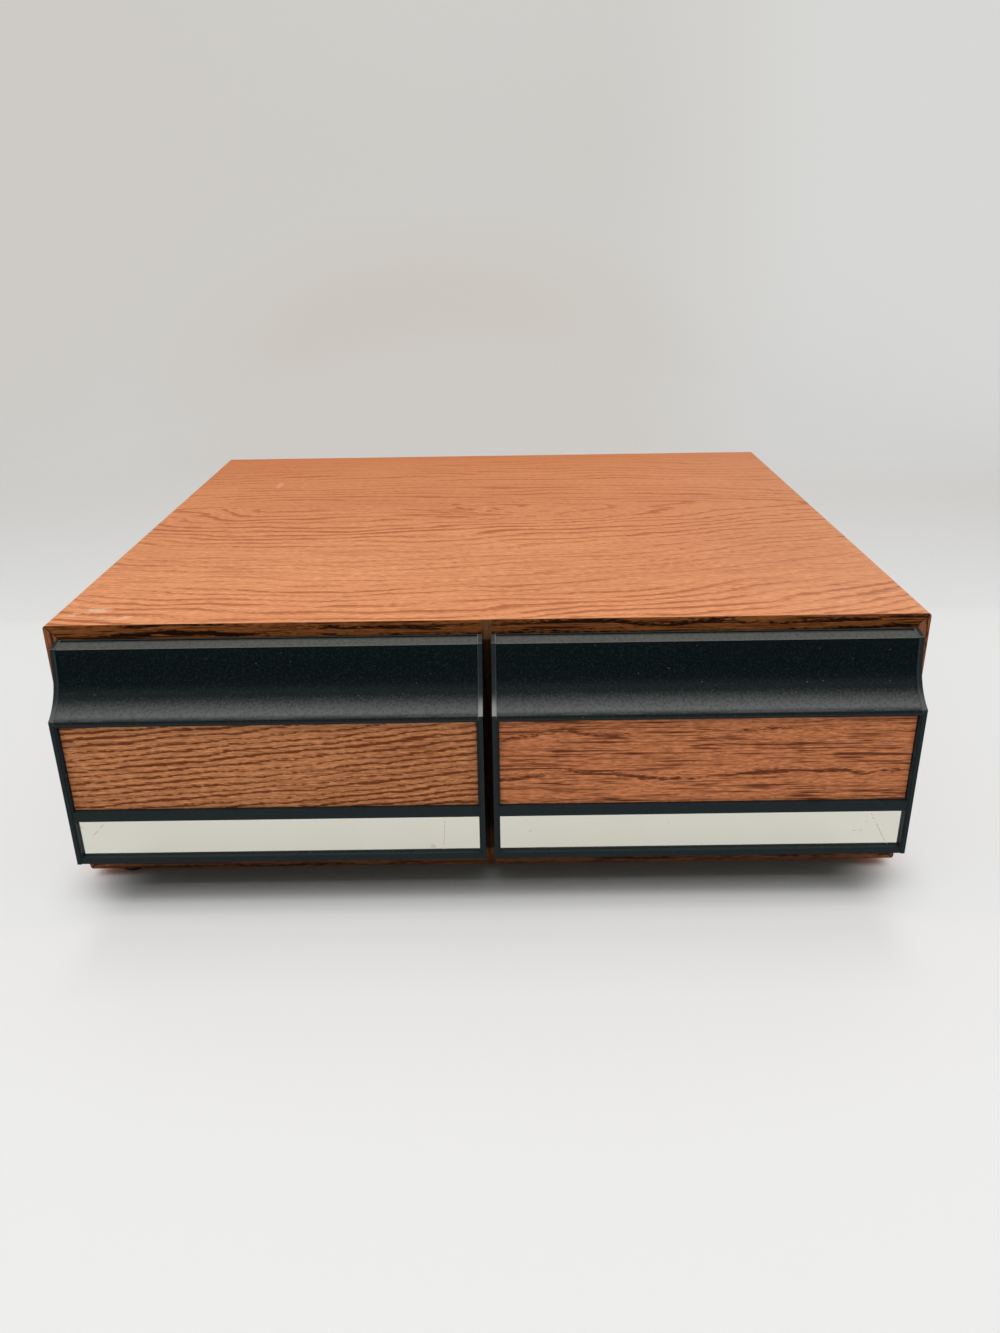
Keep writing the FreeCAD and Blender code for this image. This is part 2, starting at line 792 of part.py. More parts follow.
def add_bosses(body):
    """Screw bosses and upright stiffeners in the hollow, which stop level with and short of the rear."""
    bosses = new_sketch(body, "bosses", "XZ_Plane")
    for x, z in boss_places():
        circle(bosses, x, z, boss_radius)
    pad(bosses, cavity_depth + dim.front_wall / 2)
    spacing = dim.boss_spacing_width / (dim.stiffener_count + 1)
    reach = spacing * (dim.stiffener_count - 1)
    stiffener = new_sketch(body, "stiffener", "YZ_Plane", lift=-reach / 2)
    outline(stiffener, cavity_path(dim.stiffener_setback))
    first = pad(stiffener, dim.stiffener_thickness, both=True)
    repeat([first], [("X_Axis", reach, dim.stiffener_count)])
    pilots = new_sketch(body, "boss_pilots", "XZ_Plane")
    for x, z in boss_places():
        circle(pilots, x, z, pilot_radius)
    pocket(pilots, dim.screw_bite + dim.pilot_clearance, flip=True)


def make_front(label, x, y, z):
    """The moulded drawer front: coved pull, lip, raised rims, two windows and a hollow rear."""
    body = new_body(label, x, y, z)
    field = new_sketch(body, "field", "YZ_Plane")
    outline(field, field_path())
    block = pad(field, front_width, both=True)

    def is_lip(first, second):
        return all(near(end.y, -dim.front_depth) and near(end.z, lip_height - dim.rim_proud)
                   for end in (first, second))

    ease_edges("Fillet", block, dim.lip_radius, is_lip)
    rim = new_sketch(body, "rim", "YZ_Plane", lift=-front_width / 2)
    outline(rim, rim_path())
    mirror(pad(rim, dim.rim_width), "YZ_Plane")
    cut_window(body, "mirror_window", dim.bottom_bar, mirror_top, dim.mirror_thickness)
    cut_window(body, "wood_window", wood_bottom, wood_top, dim.wood_thickness)
    cavity = new_sketch(body, "cavity", "YZ_Plane")
    outline(cavity, cavity_path(ZERO))
    pocket(cavity, front_width - 2 * dim.front_wall, both=True)
    add_bosses(body)


def make_inlay(label, x, y, z, low, high, thickness):
    """A strip that lies on the floor of its window."""
    body = new_body(label, x, y, z)
    half = window_width / 2 - dim.inlay_clearance
    sketch = new_sketch(body, "outline", "XZ_Plane", lift=inlay_face)
    rectangle(sketch, -half, low + dim.inlay_clearance, half, high - dim.inlay_clearance)
    return pad(sketch, thickness, flip=True)


def make_front_screws(label, x, y, z):
    """Four screws from inside the box into the bosses, as one group."""
    body = new_body(label, x, y + dim.box_board_thickness, z)
    half = dim.boss_spacing_width / 2
    screw = add_screw(body, "XZ_Plane", -half, dim.boss_low, dim.box_board_thickness, tip_along_normal=True)
    repeat(screw, [("X_Axis", dim.boss_spacing_width, PAIR),
                   ("Z_Axis", dim.boss_spacing_height, PAIR)])


def make_drawer(side, hand):
    """One drawer: box, dividing plates, front, inlays and screws."""
    make_box_side(f"{side}_drawer_left_side", hand, -1)
    make_box_side(f"{side}_drawer_right_side", hand, 1)
    make_box_front(f"{side}_drawer_front_board", hand)
    make_box_back(f"{side}_drawer_back_board", hand)
    make_box_bottom(f"{side}_drawer_bottom", hand)
    make_plates(f"{side}_tape_dividers", hand)
    place = (hand * front_middle, case_front - dim.front_clearance, dim.foot_height + dim.front_rise)
    make_front(f"{side}_front", *place)
    wood = make_inlay(f"{side}_wood_inlay", *place, wood_bottom, wood_top, dim.wood_thickness)

    def is_face_edge(first, second):
        return near(first.y, -inlay_face) and near(second.y, -inlay_face)

    ease_edges("Chamfer", wood, dim.wood_edge, is_face_edge)
    make_inlay(f"{side}_mirror_strip", *place, dim.bottom_bar, mirror_top, dim.mirror_thickness)
    make_front_screws(f"{side}_front_screws", *place)


def write_parts():
    """Check every object, then write each node to its own file."""
    doc.recompute()
    for thing in doc.Objects:
        if "Invalid" in thing.State or "Error" in thing.State:
            raise RuntimeError(f"{thing.Label} failed: {thing.State}")
    for node in nodes:
        if node.Shape.isNull() or not node.Shape.isValid():
            raise RuntimeError(f"{node.Label} has no valid shape")
    os.makedirs("parts", exist_ok=True)
    for node in nodes:
        node.Shape.exportStep(f"parts/{node.Label}.step")
        print(node.Label, len(node.Shape.Solids), round(node.Shape.Volume, 1))


make_case()
make_drawer("left", -1)
make_drawer("right", 1)
write_parts()
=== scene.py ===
"""Finishes, small fittings, stage and camera for the two-drawer video tape cabinet."""
import json
import math

import bmesh
import bpy
from bpy.props import FloatProperty, FloatVectorProperty, PointerProperty
from mathutils import Matrix, Vector

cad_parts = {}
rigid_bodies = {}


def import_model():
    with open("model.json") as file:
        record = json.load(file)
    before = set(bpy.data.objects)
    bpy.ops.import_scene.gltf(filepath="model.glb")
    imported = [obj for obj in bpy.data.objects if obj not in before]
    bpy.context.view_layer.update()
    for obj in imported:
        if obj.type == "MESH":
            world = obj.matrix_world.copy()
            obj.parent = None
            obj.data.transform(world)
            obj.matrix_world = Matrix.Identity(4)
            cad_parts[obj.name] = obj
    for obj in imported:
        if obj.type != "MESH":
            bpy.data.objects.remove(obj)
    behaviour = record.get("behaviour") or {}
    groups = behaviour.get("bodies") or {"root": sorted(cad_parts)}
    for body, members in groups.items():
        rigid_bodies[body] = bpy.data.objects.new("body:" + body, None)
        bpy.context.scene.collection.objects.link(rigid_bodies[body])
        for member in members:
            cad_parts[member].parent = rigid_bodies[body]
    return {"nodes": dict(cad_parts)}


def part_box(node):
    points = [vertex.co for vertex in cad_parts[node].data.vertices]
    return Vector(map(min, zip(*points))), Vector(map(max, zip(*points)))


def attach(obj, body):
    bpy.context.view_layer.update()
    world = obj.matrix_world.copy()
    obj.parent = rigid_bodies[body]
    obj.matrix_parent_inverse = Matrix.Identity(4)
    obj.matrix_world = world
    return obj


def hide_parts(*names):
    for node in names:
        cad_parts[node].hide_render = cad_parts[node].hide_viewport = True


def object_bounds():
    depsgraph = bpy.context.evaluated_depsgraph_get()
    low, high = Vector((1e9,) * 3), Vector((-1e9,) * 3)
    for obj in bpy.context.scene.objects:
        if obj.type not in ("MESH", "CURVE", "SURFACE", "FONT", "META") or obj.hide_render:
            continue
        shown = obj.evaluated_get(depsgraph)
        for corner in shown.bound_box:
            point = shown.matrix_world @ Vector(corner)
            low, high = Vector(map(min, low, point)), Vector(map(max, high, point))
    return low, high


bl_info = {
    "name": "Tape Cabinet",
    "version": (1, 0, 0),
    "blender": (4, 5, 0),
    "location": "View3D > Sidebar > Tape Cabinet",
    "description": "Finishes, fittings and stage of a two-drawer video tape cabinet",
    "category": "Object",
}

for leftover in list(bpy.data.objects):
    bpy.data.objects.remove(leftover)

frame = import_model()
nodes = frame["nodes"]
cad_low, cad_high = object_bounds()

SIDES = ("left", "right")

# Places read from the frame, in metres.
case_low, case_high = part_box("bottom_panel")[0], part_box("top_panel")[1]
band_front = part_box("top_left_edge_band")[0].y
front_low, front_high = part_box("right_front")
wood_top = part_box("right_wood_inlay")[1].z
strip_low, strip_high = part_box("right_mirror_strip")
case_depth = case_high.y - band_front
front_middle = (front_low.x + front_high.x) / 2
front_half = (front_high.x - front_low.x) / 2

# Noise swings about this level, from nothing to one.
NOISE_MIDDLE = 0.5

# Rounding of the edges of each kind of piece, in metres.
EDGE_ROUNDS = {"band": 0.0001, "staple": 0.0003, "board": 0.0004, "plate": 0.0005, "stop": 0.0005,
               "foot": 0.0006}


# Settings that a user would change

def color_prop(name, default, description):
    """A colour of a finish."""
    return FloatVectorProperty(name=name, description=description, default=default, size=3,
                               subtype="COLOR", min=0.0, max=1.0)


def length_prop(name, default, description):
    """A length in metres."""
    return FloatProperty(name=name, description=description, default=default, min=0.0,
                         subtype="DISTANCE", unit="LENGTH", precision=5)


def share_prop(name, default, description):
    """A share from nothing to all."""
    return FloatProperty(name=name, description=description, default=default, min=0.0, max=1.0,
                         subtype="FACTOR")


def number_prop(name, default, description):
    """A plain number."""
    return FloatProperty(name=name, description=description, default=default, min=0.0)


def power_prop(name, default, description):
    """The power of a lamp in watts."""
    return FloatProperty(name=name, description=description, default=default, min=0.0, unit="POWER")


OAK_SETTINGS = (
    ("light", color_prop, "Light wood", "Colour between the growth rings"),
    ("dark", color_prop, "Dark wood", "Colour of the growth rings"),
    ("spacing", length_prop, "Ring spacing", "Distance from one growth ring to the next"),
    ("width", share_prop, "Ring width", "Dark share of a growth ring"),
    ("slow", number_prop, "Slow wander", "How far a ring wanders over its length, in rings"),
    ("fine", number_prop, "Fine wander", "How ragged a ring's edge is, in rings"),
    ("step", length_prop, "Step length", "Length of the small steps along a ring"),
    ("steady", share_prop, "Steadiness", "How much of a ring shows in its weakest stretch"),
    ("feather", number_prop, "Feathering", "How far the pores break up a ring"),
    ("soft", share_prop, "Softness", "How softly a ring fades at its edges"),
    ("contrast", share_prop, "Contrast", "How strongly the rings show"),
    ("dashes", share_prop, "Dashes", "How strongly long loose streaks show between the rings"),
    ("threads", share_prop, "Threads", "How strongly fine threads show between the rings"),
    ("hairs", share_prop, "Hairs", "How strongly fine lines show that run with the rings"),
)


def oak_props(**values):
    """The settings that every oak print has, with one print's values."""
    return {key: make(name, values[key], description) for key, make, name, description in OAK_SETTINGS}


class CaseOak(bpy.types.PropertyGroup):
    """Oak print on the outside of the case"""
    __annotations__ = oak_props(
        light=(0.882, 0.376, 0.167), dark=(0.36, 0.097, 0.033), spacing=0.0088, width=0.58,
        slow=1.7, fine=0.32, step=0.026, steady=0.4, feather=0.9, soft=0.6, contrast=0.84,
        dashes=0.35, threads=0.4, hairs=0.4)


class LeftInlayOak(bpy.types.PropertyGroup):
    """Oak print with close slanting rings on the left drawer front"""
    __annotations__ = oak_props(
        light=(0.905, 0.379, 0.155), dark=(0.155, 0.034, 0.0075), spacing=0.0034, width=0.55,
        slow=0.8, fine=0.32, step=0.009, steady=0.6, feather=1.1, soft=0.4, contrast=0.94,
        dashes=0.5, threads=0.4, hairs=0.4)


class RightInlayOak(bpy.types.PropertyGroup):
    """Oak print with loose streaks on the right drawer front"""
    __annotations__ = oak_props(
        light=(0.852, 0.306, 0.124), dark=(0.125, 0.028, 0.010), spacing=0.022, width=0.12,
        slow=0.12, fine=0.09, step=0.010, steady=0.15, feather=1.5, soft=0.45, contrast=0.92,
        dashes=1.0, threads=0.46, hairs=0.15)


class EdgeOak(bpy.types.PropertyGroup):
    """Dark oak print on the upper front edge of the case"""
    __annotations__ = oak_props(
        light=(0.36, 0.118, 0.032), dark=(0.010, 0.004, 0.002), spacing=0.0055, width=0.6,
        slow=1.2, fine=0.35, step=0.018, steady=0.2, feather=1.2, soft=0.45, contrast=0.97,
        dashes=0.9, threads=0.35, hairs=0.3)


class SideEdgeOak(bpy.types.PropertyGroup):
    """Paler oak print on the other front edges of the case"""
    __annotations__ = oak_props(
        light=(0.41, 0.155, 0.066), dark=(0.04, 0.013, 0.006), spacing=0.004, width=0.4,
        slow=1.0, fine=0.5, step=0.012, steady=0.4, feather=1.4, soft=0.4, contrast=0.9,
        dashes=0.9, threads=0.35, hairs=0.2)


class ShadedDividerEdgeOak(bpy.types.PropertyGroup):
    """Deep brown oak print on the front edge of the divider, darkened with the painted shade of the gap
    between the drawer fronts
    """
    __annotations__ = oak_props(
        light=(0.065, 0.024, 0.010), dark=(0.012, 0.005, 0.003), spacing=0.004, width=0.4,
        slow=1.0, fine=0.5, step=0.012, steady=0.4, feather=1.6, soft=0.4, contrast=0.85,
        dashes=0.8, threads=0.3, hairs=0.2)


class DrawerOak(bpy.types.PropertyGroup):
    """Oak print on the boards of the drawer boxes"""
    __annotations__ = oak_props(
        light=(0.44, 0.20, 0.09), dark=(0.20, 0.08, 0.033), spacing=0.011, width=0.4,
        slow=1.0, fine=0.3, step=0.03, steady=0.3, feather=1.0, soft=0.5, contrast=0.75,
        dashes=0.3, threads=0.2, hairs=0.2)


class WearSettings(bpy.types.PropertyGroup):
    """Tones and wear of the case, with painted shade and a painted sheen on the top, and painted light on the
    ends of the divider's edge
    """
    # Painted shade: the top darker towards its back, where less light falls.
    deep: color_prop("Deep tone", (0.66, 0.20, 0.060), "Tone of the top towards its back")
    # Painted sheen: the top paler towards its right end.
    pale: color_prop("Pale tone", (0.73, 0.46, 0.32), "Tone of the top towards its right end")
    scuff: color_prop("Scuff", (0.80, 0.55, 0.38), "Colour of the scuffs on the top")
    mitre: color_prop("Mitre", (0.012, 0.006, 0.004), "Colour of the joints at the corners")
    # Painted light: the ends of the divider's edge, outside the painted shade of the gap between the fronts.
    tip: color_prop("Worn tip", (0.20, 0.085, 0.033), "Colour of the worn ends of the divider's edge")


class FrontSettings(bpy.types.PropertyGroup):
    """Moulded drawer fronts and their silver strips"""
    plastic: color_prop("Plastic", (0.0175, 0.0262, 0.0285), "Colour of the smooth moulded plastic")
    cove: color_prop("Cove", (0.0, 0.0038, 0.0046), "Colour of the grained plastic in the cove")
    grain_size: length_prop("Grain size", 0.0009, "Size of the moulded grain in the cove")
    rim_width: length_prop("Rim width", 0.0021, "Width of the polished rim at each end")
    edge_round: length_prop("Edge round", 0.00022, "Rounding of the moulded edges")
    silver: color_prop("Silver", (0.765, 0.76, 0.675), "Colour of the silver strips")
    haze: color_prop("Haze", (0.66, 0.63, 0.55), "Colour of the haze on the silver strips")
    # Dust and ledge: dust and painted highlight on the upward-facing grain of the cove and the ledge.
    dust: color_prop("Dust", (0.138, 0.142, 0.138), "Colour of the dust in the grain of the cove")
    ledge: color_prop("Ledge", (0.098, 0.100, 0.091), "Colour of the dust in the grain of the ledge")
    # Painted glints: light specks in the cove.
    painted_glint_spacing: length_prop("Lint spacing", 0.006, "Distance between specks of lint in the cove")
    # Painted highlight on the edges of the rims, the ledge and the lip.
    edge_highlight: color_prop("Rubbed edge", (0.30, 0.30, 0.29), "Colour of the rubbed edges of the rims")
    stain: color_prop("Stain", (0.16, 0.055, 0.024), "Colour of the stain below the left strip")
    lip_height: length_prop("Lip height", 0.1054, "Height of the lip's edge above the floor")
    ledge_depth: length_prop("Ledge depth", 0.0087, "Depth of the ledge above the cove")
    scratch: color_prop("Scratch", (0.58, 0.47, 0.33), "Colour of the scratches on the strips")


class FittingSettings(bpy.types.PropertyGroup):
    """Back, feet, stops, dividers and screws"""
    chip_light: color_prop("Light chip", (0.47, 0.32, 0.18), "Lighter chips of the raw board")
    chip_dark: color_prop("Dark chip", (0.25, 0.15, 0.075), "Darker chips of the raw board")
    hardboard: color_prop("Hardboard", (0.22, 0.115, 0.055), "Colour of the thin back and bottoms")
    mottle: color_prop("Mottle", (0.13, 0.065, 0.03), "Darker patches of the hardboard")
    fibre: color_prop("Fibre", (0.34, 0.20, 0.11), "Colour of the fibres in the hardboard")
    divider: color_prop("Divider", (0.013, 0.014, 0.015), "Colour of the plates between cassettes")
    divider_rub: color_prop("Rubbed divider", (0.03, 0.031, 0.032), "Colour of the plates where rubbed")
    stop: color_prop("Stop", (0.33, 0.29, 0.22), "Colour of the drawer stops")
    stop_rub: color_prop("Rubbed stop", (0.42, 0.38, 0.30), "Colour of the stops where rubbed")
    rubber: color_prop("Rubber", (0.012, 0.012, 0.012), "Colour of the feet")
    rubber_dust: color_prop("Rubber dust", (0.06, 0.057, 0.052), "Colour of the dust on the feet")
    steel: color_prop("Steel", (0.62, 0.61, 0.58), "Colour of the screws and staples")
    dull_steel: color_prop("Dull steel", (0.40, 0.38, 0.33), "Colour of the steel's duller patches")


class StageSettings(bpy.types.PropertyGroup):
    """Floor, light and camera"""
    floor: color_prop("Floor", (0.86, 0.86, 0.855), "Colour of the floor and the wall behind")
    cloud: color_prop("Cloud", (0.7, 0.7, 0.69), "Colour of the faint clouds in the floor")
    clean: color_prop("Clean floor", (0.805, 0.811, 0.807), "Shade of the floor round the cabinet")
    contact: color_prop("Contact shade", (0.0, 0.02, 0.02), "Shade of the floor close to the fronts")
    under: color_prop("Under", (0.74, 0.86, 0.855), "Shade of the floor under the cabinet")
    backdrop: color_prop("Backdrop", (0.615, 0.597, 0.565), "Shade of the surroundings where they are seen")
    # Bright wall and bounce: painted light on the wall, its brighter side and the wood's warm bounce glow.
    bright: color_prop("Bright wall", (0.68, 0.68, 0.665), "Shade of the wall on its brighter side")
    bounce: color_prop("Bounce", (0.571, 0.515, 0.451), "Shade of the wall where it takes the wood's colour")
    lamp_power: power_prop("Lamp power", 25.5, "Power of the soft lamp overhead")
    lamp_width: length_prop("Lamp width", 3.4, "Width of the soft lamps")
    lamp_depth: length_prop("Lamp depth", 1.2, "Depth of the soft lamps")
    lamp_height: length_prop("Lamp height", 1.25, "Height of the soft lamp above the floor")
    wall_power: power_prop("Wall lamp power", 13.0, "Power of the lamp that lights the wall")
    camera_place: FloatVectorProperty(name="Camera place", description="Where the camera stands", size=3,
                                      default=(0.00818, -0.64799, 0.32179), subtype="TRANSLATION",
                                      unit="LENGTH")
    camera_turn: FloatVectorProperty(name="Camera turn", description="How the camera is turned", size=3,
                                     default=tuple(math.radians(turn) for turn in (66.738, 0.836, -0.131)),
                                     subtype="EULER", unit="ROTATION")
    lens: number_prop("Lens", 27.866, "Focal length in millimetres for a sensor 36 millimetres long")


class CabinetSettings(bpy.types.PropertyGroup):
    """All settings of the cabinet"""
    case_oak: PointerProperty(type=CaseOak)
    left_inlay: PointerProperty(type=LeftInlayOak)
    right_inlay: PointerProperty(type=RightInlayOak)
    edge_oak: PointerProperty(type=EdgeOak)
    side_edge_oak: PointerProperty(type=SideEdgeOak)
    shaded_divider_edge_oak: PointerProperty(type=ShadedDividerEdgeOak)
    drawer_oak: PointerProperty(type=DrawerOak)
    wear: PointerProperty(type=WearSettings)
    fronts: PointerProperty(type=FrontSettings)
    fittings: PointerProperty(type=FittingSettings)
    stage: PointerProperty(type=StageSettings)


# Building materials from nodes

class Value:
    """A number that changes over a surface: a node's output that can be added, multiplied and so on."""

    def __init__(self, web, socket):
        self.web = web
        self.socket = socket

    def __add__(self, other):
        return self.web.math("ADD", self, other)

    def __sub__(self, other):
        return self.web.math("SUBTRACT", self, other)

    def __rsub__(self, other):
        return self.web.math("SUBTRACT", other, self)

    def __mul__(self, other):
        return self.web.math("MULTIPLY", self, other)

    def __truediv__(self, other):
        return self.web.math("DIVIDE", self, other)

    def __rtruediv__(self, other):
        return self.web.math("DIVIDE", other, self)

    def __abs__(self):
        return self.web.math("ABSOLUTE", self)


class Web:
    """The nodes of a material or a world."""

    def __init__(self, tree):
        self.tree = tree
        self.tree.nodes.clear()

    def add(self, kind, settings=None, **inputs):
        """A new node with its settings and inputs."""
        node = self.tree.nodes.new(kind)
        for key, value in (settings or {}).items():
            setattr(node, key, value)
        for key, value in inputs.items():
            self.feed(node.inputs[key.replace("_", " ")], value)
        return node

    def feed(self, socket, value):
        """Link another node's output to a socket, or set a plain value on it."""
        source = value.socket if isinstance(value, Value) else value
        if isinstance(source, bpy.types.NodeSocket):
            self.tree.links.new(source, socket)
        elif socket.type == "RGBA":
            socket.default_value = (*source[:3], 1.0)
        else:
            socket.default_value = source

    def fill(self, node, *values):
        """Feed a node's inputs in their order, and give its first output."""
        for socket, value in zip(node.inputs, values):
            self.feed(socket, value)
        return Value(self, node.outputs[0])

    def math(self, operation, *values):
        """The result of one sum."""
        return self.fill(self.add("ShaderNodeMath", {"operation": operation}), *values)

    def highest(self, first, *others):
        """The highest of some values."""
        for other in others:
            first = self.math("MAXIMUM", first, other)
        return first

    def lowest(self, first, second):
        """The lower of two values."""
        return self.math("MINIMUM", first, second)

    def length(self, *parts):
        """Length of a vector given by its parts."""
        squares = [part * part for part in parts]
        return self.math("SQRT", sum(squares[1:], squares[0]))

    def mix_shader(self, share, first, second):
        """One shader or another, by a share."""
        return self.fill(self.add("ShaderNodeMixShader"), share, first, second)

    def seen_directly(self):
        """Whether a ray comes from the camera, or to it off metal or through glass."""
        path = self.add("ShaderNodeLightPath").outputs
        return self.highest(path["Is Camera Ray"], path["Is Glossy Ray"], path["Is Transmission Ray"])


class Finish(Web):
    """A procedural material in the making: one shader and the nodes that feed it."""

    def __init__(self, name):
        self.material = bpy.data.materials.new(name)
        self.material.use_nodes = True
        super().__init__(self.material.node_tree)
        self.shader = self.add("ShaderNodeBsdfPrincipled")
        self.output = self.add("ShaderNodeOutputMaterial", Surface=self.shader.outputs["BSDF"])
        self.place = self.add("ShaderNodeTexCoord").outputs["Object"]
        parts = self.add("ShaderNodeSeparateXYZ", Vector=self.place).outputs
        self.x, self.y, self.z = (Value(self, part) for part in parts)
        self.axes = {"x": self.x, "y": self.y, "z": self.z}

    def noise(self, scale, detail=2.0, roughness=0.5, vector=None):
        """Soft noise, from nothing to one."""
        vector = self.place if vector is None else vector
        node = self.add("ShaderNodeTexNoise", Vector=vector, Scale=scale, Detail=detail, Roughness=roughness)
        return Value(self, node.outputs[0])

    def cells(self, scale):
        """How far a point lies from the middle of its cell."""
        node = self.add("ShaderNodeTexVoronoi", Vector=self.place, Scale=scale)
        return Value(self, node.outputs["Distance"])

    def streaks(self, along, across, length, width, seed, detail=2.0):
        """Noise drawn out along the grain, from the length and width of a streak."""
        point = self.add("ShaderNodeCombineXYZ", X=along * (1.0 / length), Y=across * (1.0 / width), Z=seed)
        return self.noise(1.0, detail, vector=point.outputs[0])

    def ease(self, value, low, high, start=0.0, end=1.0):
        """A smooth step from one value to another."""
        node = self.add("ShaderNodeMapRange", {"interpolation_type": "SMOOTHSTEP"})
        return self.fill(node, value, low, high, start, end)

    def ramp(self, value, stops):
        """A level that changes by stops, each a place and a level."""
        node = self.add("ShaderNodeValToRGB", Fac=value)
        elements = node.color_ramp.elements
        while len(elements) < len(stops):
            elements.new(0.5)
        for element, (place, level) in zip(elements, stops):
            element.position = place
            element.color = (level, level, level, 1.0)
        return Value(self, node.outputs[0])

    def blend(self, share, first, second):
        """A mix of two colours."""
        node = self.add("ShaderNodeMix", {"data_type": "RGBA"})
        for number, value in ((0, share), (6, first), (7, second)):
            self.feed(node.inputs[number], value)
        return node.outputs[2]

    def bump(self, height, strength, depth):
        """A normal bent by a height."""
        return self.add("ShaderNodeBump", Height=height, Strength=strength, Distance=depth).outputs[0]

    def outward(self, direction, smooth=False):
        """How far a face looks in one direction."""
        normal = self.add("ShaderNodeNewGeometry").outputs["Normal" if smooth else "True Normal"]
        node = self.add("ShaderNodeVectorMath", {"operation": "DOT_PRODUCT"})
        self.fill(node, normal, direction)
        return Value(self, node.outputs["Value"])

    def spot(self, first, second, centre, radii):
        """A soft-edged oval."""
        edge, core = 1.0, 0.4
        across = (first - centre[0]) * (1.0 / radii[0])
        up = (second - centre[1]) * (1.0 / radii[1])
        return self.ease(self.length(across, up), edge, core)

    def stroke(self, first, second, start, end, width):
        """A thin straight mark from one point to another."""
        core = 0.3 * width
        run = (end[0] - start[0], end[1] - start[1])
        reach = run[0] ** 2 + run[1] ** 2
        from_first, from_second = first - start[0], second - start[1]
        along = from_first * (run[0] / reach) + from_second * (run[1] / reach)
        along = self.lowest(self.highest(along, 0.0), 1.0)
        off = self.length(from_first - along * run[0], from_second - along * run[1])
        return self.ease(off, width, core)

    def set(self, **values):
        """Set or feed the shader's own sockets."""
        for key, value in values.items():
            self.feed(self.shader.inputs[key.replace("_", " ")], value)
        return self.material


# Oak prints

# Streaks in an oak print: length and width in metres, seed and detail.
OAK_STREAKS = {
    "slow": (0.12, 0.045, 0.0, 2.0),
    "patches": (0.06, 0.014, 7.0, 2.0),
    "flecks": (0.0035, 0.0009, 11.0, 2.0),
    "threads": (0.005, 0.0011, 13.0, 4.0),
    "tone": (0.25, 0.11, 17.0, 2.0),
    "long_dashes": (0.055, 0.0012, 19.0, 2.0),
    "short_dashes": (0.024, 0.0008, 23.0, 2.0),
    "clumps": (0.05, 0.011, 29.0, 2.0),
}


def oak_print(finish, wood, along, across, rings, seed, zone=1.0, steep=1.0, loose=1.0):
    """Colour and relief of an oak print.

    How far a point lies across the growth rings is given by rings, and how steeply they run there by steep.
    How strongly the rings and the loose streaks show there is given by zone and loose.
    """
    def streaks(name):
        length, width, offset, detail = OAK_STREAKS[name]
        return finish.streaks(along, across, length, width, seed + offset, detail)

    # The rings, counted from the middle of the tree, with their wander
    wave_length, wave_width, wave_swing = 3.0 * wood.step, 1.1 * wood.step, 4.0
    fine_width, swing = 0.06 * wood.step, 2.0
    slow = streaks("slow") - NOISE_MIDDLE
    waves = finish.streaks(along, across, wave_length, wave_width, seed + 5.0) - NOISE_MIDDLE
    fine = finish.streaks(along, across, wood.step, fine_width, seed + 3.0, detail=3.0) - NOISE_MIDDLE
    count = (rings * (1.0 / wood.spacing) + slow * (wood.slow * swing) + waves * (wood.fine * wave_swing)
             + fine * (wood.fine * swing))
    share = finish.math("FRACT", count)

    # The dark line of each ring, which sets in fast and fades slowly, stronger in some years than in others
    onset, year_least = 0.3, 0.4
    width = steep * wood.width
    line = finish.highest(finish.ease(share, width, 0.0), finish.ease(share, 1.0 - width * onset, 1.0))
    year = finish.add("ShaderNodeTexWhiteNoise", {"noise_dimensions": "1D"}, W=finish.math("FLOOR", count))
    year_strength = Value(finish, year.outputs[0]) * (1.0 - year_least) + year_least
    patchy = finish.ease(streaks("patches"), 0.32, 0.6, start=wood.steady)
    strength = line * year_strength * patchy * zone
    flecks = streaks("flecks") - NOISE_MIDDLE
    threshold, half_soft = 0.3, wood.soft / 2
    dark = finish.ease(strength + flecks * wood.feather, threshold - half_soft, threshold + half_soft)

    # Hairs that run with the rings, and loose dashes, threads and tones between them
    hairs_per_ring = 3.0
    hairs = finish.ease(finish.math("FRACT", count * hairs_per_ring), 0.6, 0.0, end=wood.hairs)
    clumps = finish.ease(streaks("clumps"), 0.32, 0.55)
    long_dashes = finish.ease(streaks("long_dashes"), 0.53, 0.62)
    short_dashes = finish.ease(streaks("short_dashes"), 0.55, 0.64)
    dashes = finish.highest(long_dashes, short_dashes) * clumps * loose * wood.dashes
    dark = finish.highest(dark, hairs * patchy * zone, dashes)
    threads = finish.ease(streaks("threads"), 0.3, 0.7, end=wood.threads)
    tone = finish.ease(streaks("tone"), 0.25, 0.75, end=0.16)
    color = finish.blend(threads + tone, wood.light, wood.dark)
    color = finish.blend(dark * wood.contrast, color, wood.dark)
    return color, 1.0 - dark


def raw_board(finish, fittings):
    """Colour of bare chipboard."""
    chips, weight = finish.cells(scale=420.0), 0.75
    flecks = finish.noise(scale=900.0, detail=3.0)
    share = finish.ease((chips + flecks) * weight, 0.35, 0.95)
    return finish.blend(share, fittings.chip_light, fittings.chip_dark)


